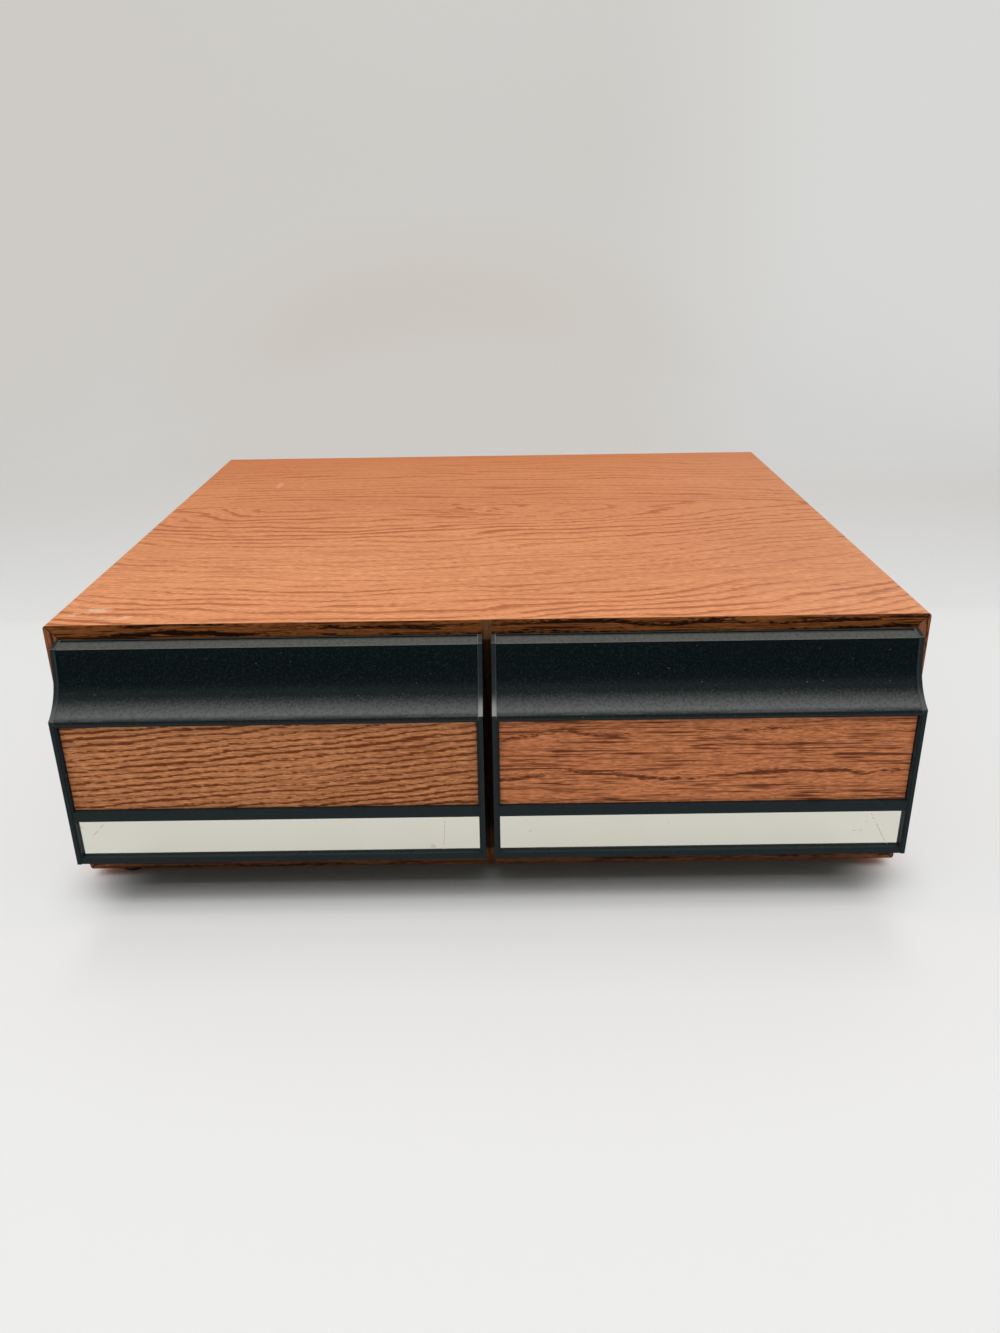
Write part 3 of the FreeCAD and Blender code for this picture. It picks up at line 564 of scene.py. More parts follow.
def flame_rings(finish, along, across):
    """Rings of the figure on the top and how steeply they run: long flames that close to the right."""
    centre = (-0.14, band_front + 0.218)
    long_right, long_left, turn_left, turn_right = 6.2, 2.6, -0.05, 0.03
    lean, bowl, bowl_depth = 0.07, 0.6, 0.13
    crowd, crowd_depth, crowd_start, crowd_end = 1.5, 0.022, 0.002, 0.006
    ragged_centre, ragged_radii = (-0.045, centre[1] - 0.02), (0.13, 0.05)
    tooth_length, tooth_width, tooth_reach = 0.05, 0.006, 0.17
    least_steep, least_ring = 0.6, 0.002
    depth = across - centre[1]
    ragged = finish.spot(along, across, ragged_centre, ragged_radii)
    teeth = finish.streaks(along, across, tooth_length, tooth_width, seed=2.0, detail=1.0) - NOISE_MIDDLE
    reach = along - centre[0] + ragged * teeth * tooth_reach
    pull = finish.ease(reach, turn_left, turn_right, 1.0 / long_left, 1.0 / long_right)
    back = depth + finish.lowest(finish.highest(depth, 0.0), crowd_depth) * crowd
    press = (finish.ease(depth, 0.0, crowd_start) * crowd
             + finish.ease(depth, crowd_depth, crowd_depth + crowd_end) * -crowd + 1.0)
    side = reach * pull
    rings = finish.length(back, side)
    rise_speed = finish.length(back * press, side * pull)
    steep = rise_speed / finish.highest(rings, least_ring)
    steep = finish.highest(finish.lowest(steep, 1.0 / steep), least_steep)
    rise = along * (along * bowl + lean) * finish.ease(depth, 0.0, -bowl_depth)
    return rings + rise, steep


def top_zone(finish, across):
    """How strongly rings show on the top, and loose streaks, from its front to its back."""
    most_streaks = 1.8
    share = (across - band_front) * (1.0 / case_depth)
    rings = finish.ramp(share, ((0.0, 0.97), (0.1, 0.95), (0.16, 0.44), (0.32, 0.48), (0.42, 0.95),
                                (0.6, 0.95), (0.68, 0.62), (1.0, 0.6)))
    streaks = finish.ramp(share, ((0.0, 0.5), (0.1, 0.6), (0.16, 1.0), (0.32, 0.9), (0.42, 0.5),
                                  (0.6, 0.26), (1.0, 0.12)))
    return rings, streaks * most_streaks


def age_top(finish, wear, color, run, cross):
    """The top's colour, with painted shade darkening it towards the back, a painted sheen lightening its
    right end, and scuffed at its front left corner.
    """
    back, long_fade, short_fade = case_high.y, 0.85 * case_depth, 0.23 * case_depth
    # Painted shade: the top darkened towards its back.
    painted_back_shade = (finish.ease(cross, back - long_fade, back, end=0.45)
              + finish.ease(cross, back - short_fade, back, end=0.26))
    color = finish.blend(painted_back_shade, color, wear.deep)
    # Painted sheen: the top lighter towards its right end.
    sheen_start = 0.06
    painted_right_sheen = finish.ease(run, sheen_start, case_high.x, end=0.11)
    color = finish.blend(painted_right_sheen, color, wear.pale)
    scuff_ovals = (((-0.2045, -0.1635), (0.0075, 0.004)), ((-0.1965, -0.1575), (0.010, 0.0045)),
                   ((-0.1835, -0.1685), (0.011, 0.004)))
    nick_centre, nick_radii = (-0.1562, 0.1100), (0.003, 0.011)
    scuff_share, nick_share = 0.6, 0.6
    scuffs = finish.highest(*(finish.spot(run, cross, *oval) for oval in scuff_ovals))
    torn = finish.ease(finish.noise(scale=260.0, detail=3.0), 0.34, 0.56)
    nick = finish.spot(run, cross, nick_centre, nick_radii)
    worn = finish.highest(scuffs * torn, nick * nick_share)
    return finish.blend(worn * scuff_share, color, wear.scuff)


def case_vinyl(name, settings, outside, along, across, figured=False, seed=0.0):
    """Vinyl with an oak print outside, bare chipboard inside and on the cut edges."""
    finish = Finish(name)
    run, cross = finish.axes[along], finish.axes[across]
    if figured:
        rings, steep = flame_rings(finish, run, cross)
        zone, loose = top_zone(finish, cross)
    else:
        bow_turn, bow_width = 9.0, 0.006
        rings = cross + finish.math("SINE", run * bow_turn) * bow_width
        zone, steep, loose = 0.58, 1.0, 1.0
    color, relief = oak_print(finish, settings.case_oak, run, cross, rings, seed, zone, steep, loose)
    if figured:
        color = age_top(finish, settings.wear, color, run, cross)
    skin = finish.ease(finish.outward(outside), 0.4, 0.5)
    color = finish.blend(skin, raw_board(finish, settings.fittings), color)
    raw_rough = 0.85
    rough = finish.highest(finish.ease(relief, 0.2, 1.0, start=0.62, end=0.5), (1.0 - skin) * raw_rough)
    return finish.set(Base_Color=color, Roughness=rough, Specular_IOR_Level=0.06,
                      Normal=finish.bump(relief, strength=0.25, depth=0.0002))


def edge_vinyl(name, wood, wear, along, across, seed, unshaded_tips=False):
    """Oak print on the front edges, with the mitres drawn at the corners and, where asked for, lighter ends
    as painted light outside the painted shade of the divider's gap.
    """
    finish = Finish(name)
    run, cross = finish.axes[along], finish.axes[across]
    slant_turn, slant_width = 14.0, 0.0016
    slant = finish.math("SINE", run * slant_turn) * slant_width
    color, relief = oak_print(finish, wood, run, cross, cross + slant, seed)
    middle_z, half_z = (case_low.z + case_high.z) / 2, (case_high.z - case_low.z) / 2
    inset_x = case_high.x - abs(finish.x)
    inset_z = half_z - abs(finish.z - middle_z)
    if unshaded_tips:
        # Painted light: the ends of the edge lighter, where the painted shade of the gap stops.
        tip_end, tip_start = 0.0108, 0.0092
        worn = finish.ease(inset_z, tip_end, tip_start) * finish.ease(relief, 0.0, 1.0, start=0.4, end=0.95)
        color = finish.blend(worn, color, wear.tip)
    mitre_edge, mitre_core = 0.0005, 0.00015
    mitre = finish.ease(abs(inset_x - inset_z), mitre_edge, mitre_core, end=0.8)
    color = finish.blend(mitre, color, wear.mitre)
    return finish.set(Base_Color=color, Roughness=finish.ease(relief, 0.2, 1.0, start=0.6, end=0.48),
                      Specular_IOR_Level=0.03, Normal=finish.bump(relief, strength=0.3, depth=0.0002))


def left_rings(finish):
    """Close rings that climb ever more steeply to the right."""
    slope, bend = 0.092, 0.09
    run = finish.x + front_middle
    return finish.z - (run * slope + run * run * bend)


def right_rings(finish):
    """Loose rings that swell up and down, one of them along the middle."""
    swell, wave, start, middle = 0.0022, 0.1, 0.02, 0.071
    turn = (finish.x - start) * (math.tau / wave)
    return finish.z - middle - finish.math("SINE", turn) * swell


def inlay_vinyl(name, wood, rings, seed):
    """Oak print on a drawer front's inlay."""
    finish = Finish(name)
    color, relief = oak_print(finish, wood, finish.x, finish.z, rings(finish), seed)
    return finish.set(Base_Color=color, Roughness=finish.ease(relief, 0.2, 1.0, start=0.62, end=0.48),
                      Specular_IOR_Level=0.09, Normal=finish.bump(relief, strength=0.5, depth=0.0003))


def board_vinyl(name, wood, along, seed):
    """Oak print on a board of a drawer box."""
    finish = Finish(name)
    faint = 0.6
    color, relief = oak_print(finish, wood, finish.axes[along], finish.z, finish.z, seed, faint)
    return finish.set(Base_Color=color, Roughness=finish.ease(relief, 0.2, 1.0, start=0.55, end=0.42),
                      Normal=finish.bump(relief, strength=0.25, depth=0.0002))


# Moulded fronts and silver strips

def moulded_plastic(fronts):
    """Charcoal plastic: grained and a little dusty in the cove and on the ledge, with painted highlight where
    the grain faces up and on its edges, polished elsewhere.
    """
    finish = Finish("moulded_front_plastic")
    lip, ledge_front = fronts.lip_height, front_high.y - fronts.ledge_depth
    from_middle = abs(abs(finish.x) - front_middle)
    field_half = front_half - fronts.rim_width
    rim_outer, rim_inner = field_half - 0.0001, field_half - 0.0004
    lip_under, lip_over = wood_top + 0.0012, wood_top + 0.0016
    inside_rims = finish.ease(from_middle, rim_outer, rim_inner)
    above_lip = finish.ease(finish.z, lip_under, lip_over)
    grained = inside_rims * above_lip

    # Grain; dust and painted highlight lie where a face looks up, but not on the nose; painted shade keeps
    # the back of the ledge darker; painted glints speck the cove
    pit_share, ragged = 0.55, 0.16
    nose_end, nose_start = front_low.y + 0.0002, front_low.y + 0.0035
    # Where the painted shade at the back of the ledge starts and ends.
    ledge_shade_start, ledge_shade_end = front_high.y - 0.0012, front_high.y - 0.0032
    ledge_fade = 0.002
    grain = finish.noise(scale=1.0 / fronts.grain_size, roughness=0.6)
    pits = finish.cells(scale=pit_share / fronts.grain_size)
    tilt = finish.outward((0.0, 0.0, 1.0), smooth=True)
    upward = finish.ease(tilt, 0.5, 0.9)
    pebbly = finish.ease(tilt + (grain - NOISE_MIDDLE) * ragged, 0.54, 0.95)
    faint_highlight = finish.ease(tilt, 0.36, 0.54, end=0.055)
    nose = finish.ease(finish.y, nose_end, nose_start, start=0.12)
    # Painted shade: the back of the ledge kept darker.
    outside_ledge_shade = finish.ease(finish.y, ledge_shade_start, ledge_shade_end, start=0.35)
    # Dust and painted highlight where the grain faces up.
    dust_and_highlight = (finish.highest(pebbly, faint_highlight) * grained * nose * outside_ledge_shade
               * finish.ease(pits, 0.0, 0.7, start=0.65))
    # Painted glints: sparse light specks in the cove.
    painted_glint_specks = finish.ease(finish.cells(scale=1.0 / fronts.painted_glint_spacing), 0.07, 0.03, end=0.7) * grained
    # Painted glints: lighter grains in the cove.
    shine = finish.ease(grain, 0.48, 0.66, end=0.45)
    on_ledge = finish.ease(finish.y, ledge_front - ledge_fade, ledge_front)
    # Colour of the dust and painted highlight, lighter in the cove than on the ledge.
    dust = finish.blend(on_ledge, fronts.dust, fronts.ledge)
    color = finish.blend(grained, fronts.plastic, finish.blend(shine, fronts.cove, fronts.plastic))
    color = finish.blend(finish.highest(dust_and_highlight, painted_glint_specks), color, dust)

    # Painted highlights on the edges of the ledge, the lip and the rims, painted glints on the low rims near
    # the gap, and painted light on the bar below the lip
    ledge_wide, ledge_core = 0.0012, 0.0003
    lip_wide, lip_core = 0.0003, 0.0001
    rim_wide, rim_core = 0.0004, 0.0001
    rim_more, rim_least, gap_reach = 0.5, 0.1, 0.05
    rim_high, rim_low = lip + 0.018, lip + 0.008
    line_under, line_over, line_share = (lip - 0.0028, lip - 0.0024), (lip - 0.0006, lip - 0.0010), 0.045
    broken = finish.ease(finish.noise(scale=90.0, detail=4.0), 0.42, 0.6)
    ledge_edge = finish.ease(abs(finish.y - ledge_front), ledge_wide, ledge_core, end=0.34) * upward
    lip_edge = finish.ease(abs(finish.z - lip), lip_wide, lip_core, end=0.1) * broken
    rim_line = finish.ease(abs(from_middle - field_half), rim_wide, rim_core)
    rim_edge = rim_line * (upward * rim_more + rim_least)
    toward_gap = finish.ease(front_middle - abs(finish.x), -gap_reach, gap_reach, start=0.25, end=0.85)
    low_rim = finish.ease(finish.z, rim_high, rim_low, start=0.12)
    glint = (1.0 - inside_rims) * finish.ease(tilt, 0.6, 0.85) * toward_gap * low_rim
    below_lip = finish.ease(finish.z, *line_under) * finish.ease(finish.z, *line_over)
    # The painted highlights and glints above the lip, and the painted light on the bar below it.
    rubbed = finish.highest(finish.highest(rim_edge, glint, ledge_edge, lip_edge) * above_lip,
                            below_lip * inside_rims * line_share)
    color = finish.blend(rubbed, color, fronts.edge_highlight)
    stain_centre, stain_radii = (-0.1928, strip_low.z + 0.0009), (0.009, 0.0007)
    stain = finish.spot(finish.x, finish.z, stain_centre, stain_radii)
    color = finish.blend(stain * broken, color, fronts.stain)

    # Roughness and relief
    grain_rough, grain_height, pit_height = 0.3, 0.6, 0.5
    polish = finish.noise(scale=60.0, detail=4.0)
    rough = grained * grain_rough + finish.ease(polish, 0.3, 0.7, start=0.22, end=0.3)
    leather = grain * grain_height + pits * pit_height
    return finish.set(Base_Color=color, Roughness=rough, Specular_IOR_Level=0.065,
                      Normal=finish.bump(leather * grained, strength=0.8, depth=0.00034))


def silver_strip(name, fronts, strokes, smudges):
    """Mirror film with a few scratches and smudges."""
    finish = Finish(name)
    wobble_width, smudge_share, mark_share, mark_rough = 0.0012, 0.45, 0.75, 0.4
    wobble = (finish.noise(scale=300.0) - NOISE_MIDDLE) * wobble_width
    across, up = finish.x + wobble, finish.z + wobble
    scratches = finish.highest(*(finish.stroke(across, up, *stroke) for stroke in strokes))
    broken = finish.ease(finish.noise(scale=700.0, detail=1.0), 0.36, 0.52)
    spots = (finish.spot(across, up, *smudge) * smudge_share for smudge in smudges)
    marks = finish.highest(scratches * broken, *spots)
    haze = finish.noise(scale=28.0, detail=5.0)
    color = finish.blend(finish.ease(haze, 0.35, 0.75, end=0.12), fronts.silver, fronts.haze)
    color = finish.blend(marks * mark_share, color, fronts.scratch)
    rough = finish.ease(haze, 0.3, 0.7, start=0.05, end=0.12) + marks * mark_rough
    return finish.set(Base_Color=color, Metallic=1.0, Roughness=rough)


# Plainer finishes

def hardboard_finish(fittings):
    """Pressed fibre board with fine pale fibres."""
    finish = Finish("hardboard_fibres")
    fibre_share = 0.5
    mottle = finish.noise(scale=120.0, detail=5.0, roughness=0.65)
    fibres = finish.ease(finish.noise(scale=1500.0, detail=3.0, roughness=0.7), 0.52, 0.7)
    color = finish.blend(finish.ease(mottle, 0.3, 0.7, end=0.5), fittings.hardboard, fittings.mottle)
    color = finish.blend(fibres * fibre_share, color, fittings.fibre)
    return finish.set(Base_Color=color, Roughness=finish.ease(mottle, 0.2, 0.8, start=0.65, end=0.9),
                      Normal=finish.bump(fibres, strength=0.3, depth=0.0002))


def satin_plastic(name, base, worn):
    """Satin plastic with a fine tooth and faint rub marks."""
    finish = Finish(name)
    rub_share = 0.4
    tooth = finish.noise(scale=1600.0)
    rubbed = finish.ease(finish.noise(scale=35.0, detail=5.0), 0.5, 0.72)
    return finish.set(Base_Color=finish.blend(rubbed * rub_share, base, worn),
                      Roughness=finish.ease(rubbed, 0.0, 1.0, start=0.38, end=0.55),
                      Normal=finish.bump(tooth, strength=0.25, depth=0.0001))


def foot_rubber(fittings):
    """Dull rubber with dust in its pores."""
    finish = Finish("foot_rubber_dull")
    dust_share = 0.35
    pores = finish.noise(scale=2200.0)
    dust = finish.ease(finish.noise(scale=240.0, detail=4.0), 0.52, 0.75)
    return finish.set(Base_Color=finish.blend(dust * dust_share, fittings.rubber, fittings.rubber_dust),
                      Roughness=finish.ease(dust, 0.0, 1.0, start=0.7, end=0.9),
                      Normal=finish.bump(pores, strength=0.4, depth=0.0001))


def zinc_steel(fittings):
    """Bright zinc with fine scratches and duller patches."""
    finish = Finish("zinc_steel")
    brushed = finish.noise(scale=3000.0)
    dull = finish.noise(scale=500.0, detail=4.0)
    color = finish.blend(finish.ease(dull, 0.4, 0.7, end=0.5), fittings.steel, fittings.dull_steel)
    return finish.set(Base_Color=color, Metallic=1.0,
                      Roughness=finish.ease(dull, 0.3, 0.7, start=0.22, end=0.42),
                      Normal=finish.bump(brushed, strength=0.15, depth=0.00005))


def dress(name, material):
    """Give a piece of the frame its finish."""
    nodes[name].material_slots[0].material = material


def ease_node(name, width, segments=2):
    """Round the sharp edges of a piece of the frame with modifiers."""
    same_corner, flat_angle, sharp_angle = 0.00001, math.radians(0.5), math.radians(35.0)
    piece = nodes[name]
    weld = piece.modifiers.new("joined corners", "WELD")
    weld.merge_threshold = same_corner
    flat = piece.modifiers.new("whole faces", "DECIMATE")
    flat.decimate_type = "DISSOLVE"
    flat.angle_limit = flat_angle
    bevel = piece.modifiers.new("eased edges", "BEVEL")
    bevel.width = width
    bevel.segments = segments
    bevel.limit_method = "ANGLE"
    bevel.angle_limit = sharp_angle


# Screws with a domed head and a cross recess

HEAD_SEGMENTS = 32
HEAD_RADIUS = 0.0032
HEAD_HEIGHT = 0.0017
SHANK_RADIUS = 0.0015


def mesh_from(shape, name):
    """A mesh of a shape that is finished with."""
    mesh = bpy.data.meshes.new(name)
    shape.to_mesh(mesh)
    shape.free()
    return mesh


def lathe_mesh(name, profile):
    """A closed turned mesh from a profile of radius and height, from the lower pole to the upper one."""
    shape = bmesh.new()
    turns = [math.tau * side / HEAD_SEGMENTS for side in range(HEAD_SEGMENTS)]
    rings = [[shape.verts.new((radius * math.cos(turn), radius * math.sin(turn), height)) for turn in turns]
             for radius, height in profile[1:-1]]
    low, high = (shape.verts.new((0.0, 0.0, height)) for _, height in (profile[0], profile[-1]))
    for side in range(HEAD_SEGMENTS):
        after = (side + 1) % HEAD_SEGMENTS
        shape.faces.new((low, rings[0][after], rings[0][side]))
        shape.faces.new((high, rings[-1][side], rings[-1][after]))
        for below, above in zip(rings, rings[1:]):
            shape.faces.new((below[side], below[after], above[after], above[side]))
    return mesh_from(shape, name)


def cross_cutter(radius, depth, floor):
    """A tapered cross that cuts the recess of a screw head."""
    taper, wing_width, wing_length = 0.55, 0.34, 1.2
    shape = bmesh.new()
    for long_axis in (0, 1):
        made = bmesh.ops.create_cube(shape, size=1.0)["verts"]
        for vert in made:
            deep = vert.co.z > 0.0
            shrink = taper if deep else 1.0
            across = radius * wing_width * shrink
            along = radius * wing_length * shrink
            vert.co.x *= along if long_axis == 0 else across
            vert.co.y *= across if long_axis == 0 else along
            vert.co.z = floor + depth if deep else floor - depth
    return mesh_from(shape, "recess")


def cut_mesh(mesh, cutter):
    """The mesh with the cutter taken away from it."""
    helpers = []
    for name, data in (("blank", mesh), ("tool", cutter)):
        helper = bpy.data.objects.new(name, data)
        bpy.context.scene.collection.objects.link(helper)
        helpers.append(helper)
    body, tool = helpers
    cut = body.modifiers.new("recess", "BOOLEAN")
    cut.object = tool
    cut.operation = "DIFFERENCE"
    cut.use_self = True
    bpy.context.view_layer.update()
    graph = bpy.context.evaluated_depsgraph_get()
    result = bpy.data.meshes.new_from_object(body.evaluated_get(graph))
    for helper in helpers:
        bpy.data.objects.remove(helper)
    return result


def screw_mesh(whole_length):
    """A screw with its head's underside at the origin, pointing up."""
    dome_angles = (75, 58, 40, 22, 0)
    skirt, under_edge, point_length, tip, recess = 0.35, 0.98, 1.6, 0.35, 0.55
    length = whole_length - HEAD_HEIGHT
    dome = [(HEAD_RADIUS * math.cos(turn), -HEAD_HEIGHT * (skirt + (1.0 - skirt) * math.sin(turn)))
            for turn in (math.radians(angle) for angle in dome_angles)]
    profile = [(0.0, -HEAD_HEIGHT), *dome, (HEAD_RADIUS * under_edge, 0.0), (SHANK_RADIUS, 0.0),
               (SHANK_RADIUS, length - point_length * SHANK_RADIUS), (SHANK_RADIUS * tip, length),
               (0.0, length)]
    return cut_mesh(lathe_mesh("screw_blank", profile),
                    cross_cutter(HEAD_RADIUS, HEAD_HEIGHT * recess, -HEAD_HEIGHT))


def place_screws(node, body, blank, places, steel):
    """One piece with a copy of the screw at each place, in the stead of a node of the frame."""
    first_turn, next_turn = 12.0, 37.0
    shape = bmesh.new()
    for number, place in enumerate(places):
        copy = blank.copy()
        spin = Matrix.Rotation(math.radians(next_turn * number + first_turn), 4, "Z")
        copy.transform(place @ spin)
        shape.from_mesh(copy)
        bpy.data.meshes.remove(copy)
    piece = bpy.data.objects.new(f"{node}_crossed", mesh_from(shape, f"{node}_crossed"))
    bpy.context.scene.collection.objects.link(piece)
    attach(piece, body)
    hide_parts(node)
    piece.data.materials.append(steel)


# Operators, one for each group of like pieces

class CabinetOperator:
    """What the operators of the cabinet share."""
    bl_options = {"REGISTER", "UNDO"}

    def settings(self, context):
        """The cabinet's settings."""
        return context.scene.tape_cabinet


class TAPE_OT_case(CabinetOperator, bpy.types.Operator):
    """Dress the boards of the case"""
    bl_idname = "tape_cabinet.case"
    bl_label = "Case boards"

    def execute(self, context):
        """Give each board its vinyl."""
        settings = self.settings(context)
        dress("top_panel", case_vinyl("case_oak_top", settings, (0, 0, 1), "x", "y", figured=True))
        dress("bottom_panel", case_vinyl("case_oak_bottom", settings, (0, 0, -1), "x", "y", seed=31.0))
        dress("left_side_panel", case_vinyl("case_oak_left", settings, (-1, 0, 0), "z", "y", seed=47.0))
        dress("right_side_panel", case_vinyl("case_oak_right", settings, (1, 0, 0), "z", "y", seed=59.0))
        dress("center_divider", case_vinyl("raw_divider", settings, (0, -1, 0), "z", "y", seed=61.0))
        return {"FINISHED"}


class TAPE_OT_edges(CabinetOperator, bpy.types.Operator):
    """Dress the bands on the front edges of the case"""
    bl_idname = "tape_cabinet.edges"
    bl_label = "Edge bands"

    def execute(self, context):
        """Give each band its oak print and ease its edges."""
        settings = self.settings(context)
        dark, pale, deep = settings.edge_oak, settings.side_edge_oak, settings.shaded_divider_edge_oak
        lying = (("top_left", dark, 3.0), ("top_right", dark, 8.0), ("bottom_left", pale, 13.0),
                 ("bottom_right", pale, 18.0))
        for place, wood, seed in lying:
            name = f"{place}_edge_band"
            dress(name, edge_vinyl(f"edge_oak_{place}", wood, settings.wear, "x", "z", seed))
            ease_node(name, EDGE_ROUNDS["band"], segments=1)
        # The divider's band carries the painted shade of the gap between the fronts, and is lighter at its
        # ends.
        upright = (("left", pale, 41.0, False), ("right", pale, 43.0, False), ("divider", deep, 53.0, True))
        for place, wood, seed, unshaded_tips in upright:
            name = f"{place}_edge_band"
            dress(name, edge_vinyl(f"edge_oak_{name}", wood, settings.wear, "z", "x", seed, unshaded_tips))
            ease_node(name, EDGE_ROUNDS["band"], segments=1)
        return {"FINISHED"}


class TAPE_OT_back(CabinetOperator, bpy.types.Operator):
    """Dress the back panel and its staples"""
    bl_idname = "tape_cabinet.back"
    bl_label = "Back panel"

    def execute(self, context):
        """Give the back its hardboard and the staples their steel."""
        fittings = self.settings(context).fittings
        dress("back_panel", hardboard_finish(fittings))
        dress("back_staples", zinc_steel(fittings))
        ease_node("back_staples", EDGE_ROUNDS["staple"])
        return {"FINISHED"}


class TAPE_OT_feet(CabinetOperator, bpy.types.Operator):
    """Dress the feet and the drawer stops, and make their screws"""
    bl_idname = "tape_cabinet.feet"
    bl_label = "Feet and stops"

    def execute(self, context):
        """Give the feet and stops their finish, and set a screw in each."""
        fittings = self.settings(context).fittings
        rubber, steel = foot_rubber(fittings), zinc_steel(fittings)
        nylon = satin_plastic("stop_plastic_satin", fittings.stop, fittings.stop_rub)
        low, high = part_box("foot_screws")
        places = []
        for foot in (f"{end}_{side}_foot" for end in ("front", "rear") for side in SIDES):
            dress(foot, rubber)
            ease_node(foot, EDGE_ROUNDS["foot"])
            middle = sum(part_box(foot), Vector()) / 2
            places.append(Matrix.Translation((middle.x, middle.y, low.z + HEAD_HEIGHT)))
        place_screws("foot_screws", "case", screw_mesh(high.z - low.z), places, steel)
        low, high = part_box("stop_screws")
        places = []
        for stop in (f"{side}_drawer_stop" for side in SIDES):
            dress(stop, nylon)
            ease_node(stop, EDGE_ROUNDS["stop"])
            middle = sum(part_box(stop), Vector()) / 2
            places.append(Matrix.Translation((middle.x, (low.y + high.y) / 2, low.z + HEAD_HEIGHT)))
        place_screws("stop_screws", "case", screw_mesh(high.z - low.z), places, steel)
        return {"FINISHED"}


class TAPE_OT_boxes(CabinetOperator, bpy.types.Operator):
    """Dress the drawer boxes and the plates between the cassettes"""
    bl_idname = "tape_cabinet.boxes"
    bl_label = "Drawer boxes"

    def execute(self, context):
        """Give the boards, bottoms and plates their finish, and set the screws of the fronts."""
        settings = self.settings(context)
        fittings = settings.fittings
        bottom, steel = hardboard_finish(fittings), zinc_steel(fittings)
        plates = satin_plastic("divider_plastic_satin", fittings.divider, fittings.divider_rub)
        boards = (("left_side", "y", 71.0), ("right_side", "y", 73.0), ("front_board", "x", 79.0),
                  ("back_board", "x", 83.0))
        for side in SIDES:
            for part, along, seed in boards:
                name = f"{side}_drawer_{part}"
                dress(name, board_vinyl(f"drawer_oak_{side}_{part}", settings.drawer_oak, along, seed))
                ease_node(name, EDGE_ROUNDS["board"])
            dress(f"{side}_drawer_bottom", bottom)
            dress(f"{side}_tape_dividers", plates)
            ease_node(f"{side}_tape_dividers", EDGE_ROUNDS["plate"])
            node = f"{side}_front_screws"
            low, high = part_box(node)
            aim = Matrix.Rotation(math.radians(90.0), 4, "X")
            places = [Matrix.Translation((x, high.y - HEAD_HEIGHT, z)) @ aim
                      for x in (low.x + HEAD_RADIUS, high.x - HEAD_RADIUS)
                      for z in (low.z + HEAD_RADIUS, high.z - HEAD_RADIUS)]
            place_screws(node, f"{side}_drawer", screw_mesh(high.y - low.y), places, steel)
        return {"FINISHED"}


class TAPE_OT_fronts(CabinetOperator, bpy.types.Operator):
    """Dress the moulded drawer fronts"""
    bl_idname = "tape_cabinet.fronts"
    bl_label = "Moulded fronts"

    def execute(self, context):
        """Give both fronts their plastic and ease their edges."""
        fronts = self.settings(context).fronts
        plastic = moulded_plastic(fronts)
        for side in SIDES:
            dress(f"{side}_front", plastic)
            ease_node(f"{side}_front", fronts.edge_round)
        return {"FINISHED"}


# Scratches on the silver strips, from one point to another, with their widths, and smudges with their radii.
FINE, THIN = 0.0002, 0.0003
LEFT_SCRATCHES = (
    ((-0.0223, strip_high.z), (-0.0236, strip_low.z), THIN),
    ((-0.2012, 0.0394), (-0.1946, 0.0463), THIN),
)
LEFT_SMUDGES = (((-0.0291, 0.0312), (0.0022, 0.0018)), ((-0.2055, 0.0450), (0.0012, 0.0008)))
RIGHT_SCRATCHES = (
    ((0.1914, 0.0470), (0.2025, 0.0275), THIN),
    ((0.1830, 0.0372), (0.1884, 0.0373), THIN),
    ((0.1896, 0.0462), (0.1894, 0.0415), FINE),
    ((0.0890, 0.0450), (0.0905, 0.0428), THIN),
)
RIGHT_SMUDGES = (((0.0202, 0.0394), (0.0012, 0.0009)), ((0.1988, 0.0340), (0.0012, 0.0008)))


class TAPE_OT_inlays(CabinetOperator, bpy.types.Operator):
    """Dress the oak inlays and the silver strips"""
    bl_idname = "tape_cabinet.inlays"
    bl_label = "Inlays"

    def execute(self, context):
        """Give each inlay its oak print and each strip its silver."""
        settings = self.settings(context)
        fronts = settings.fronts
        dress("left_wood_inlay", inlay_vinyl("inlay_oak_left", settings.left_inlay, left_rings, seed=5.0))
        dress("right_wood_inlay",
              inlay_vinyl("inlay_oak_right", settings.right_inlay, right_rings, seed=91.0))
        dress("left_mirror_strip", silver_strip("silver_left", fronts, LEFT_SCRATCHES, LEFT_SMUDGES))
        dress("right_mirror_strip", silver_strip("silver_right", fronts, RIGHT_SCRATCHES, RIGHT_SMUDGES))
        return {"FINISHED"}


class TAPE_OT_stage(CabinetOperator, bpy.types.Operator):
    """Set the floor, the light and the camera"""
    bl_idname = "tape_cabinet.stage"
    bl_label = "Stage"

    def execute(self, context):
        """Make the sweep, the lamps, the world and the camera."""
        stage = self.settings(context).stage
        make_sweep(stage)
        lamp_size = (stage.lamp_width, stage.lamp_depth)
        make_lamp("soft_lamp", stage.lamp_power, lamp_size, place=(0.0, -0.55, stage.lamp_height), turn=0.0)
        make_lamp("wall_lamp", stage.wall_power, lamp_size, place=(0.0, 0.7, 1.5), turn=math.radians(78.0))
        make_world(stage)
        make_camera(stage)
        context.scene.view_settings.view_transform = "Standard"
        return {"FINISHED"}


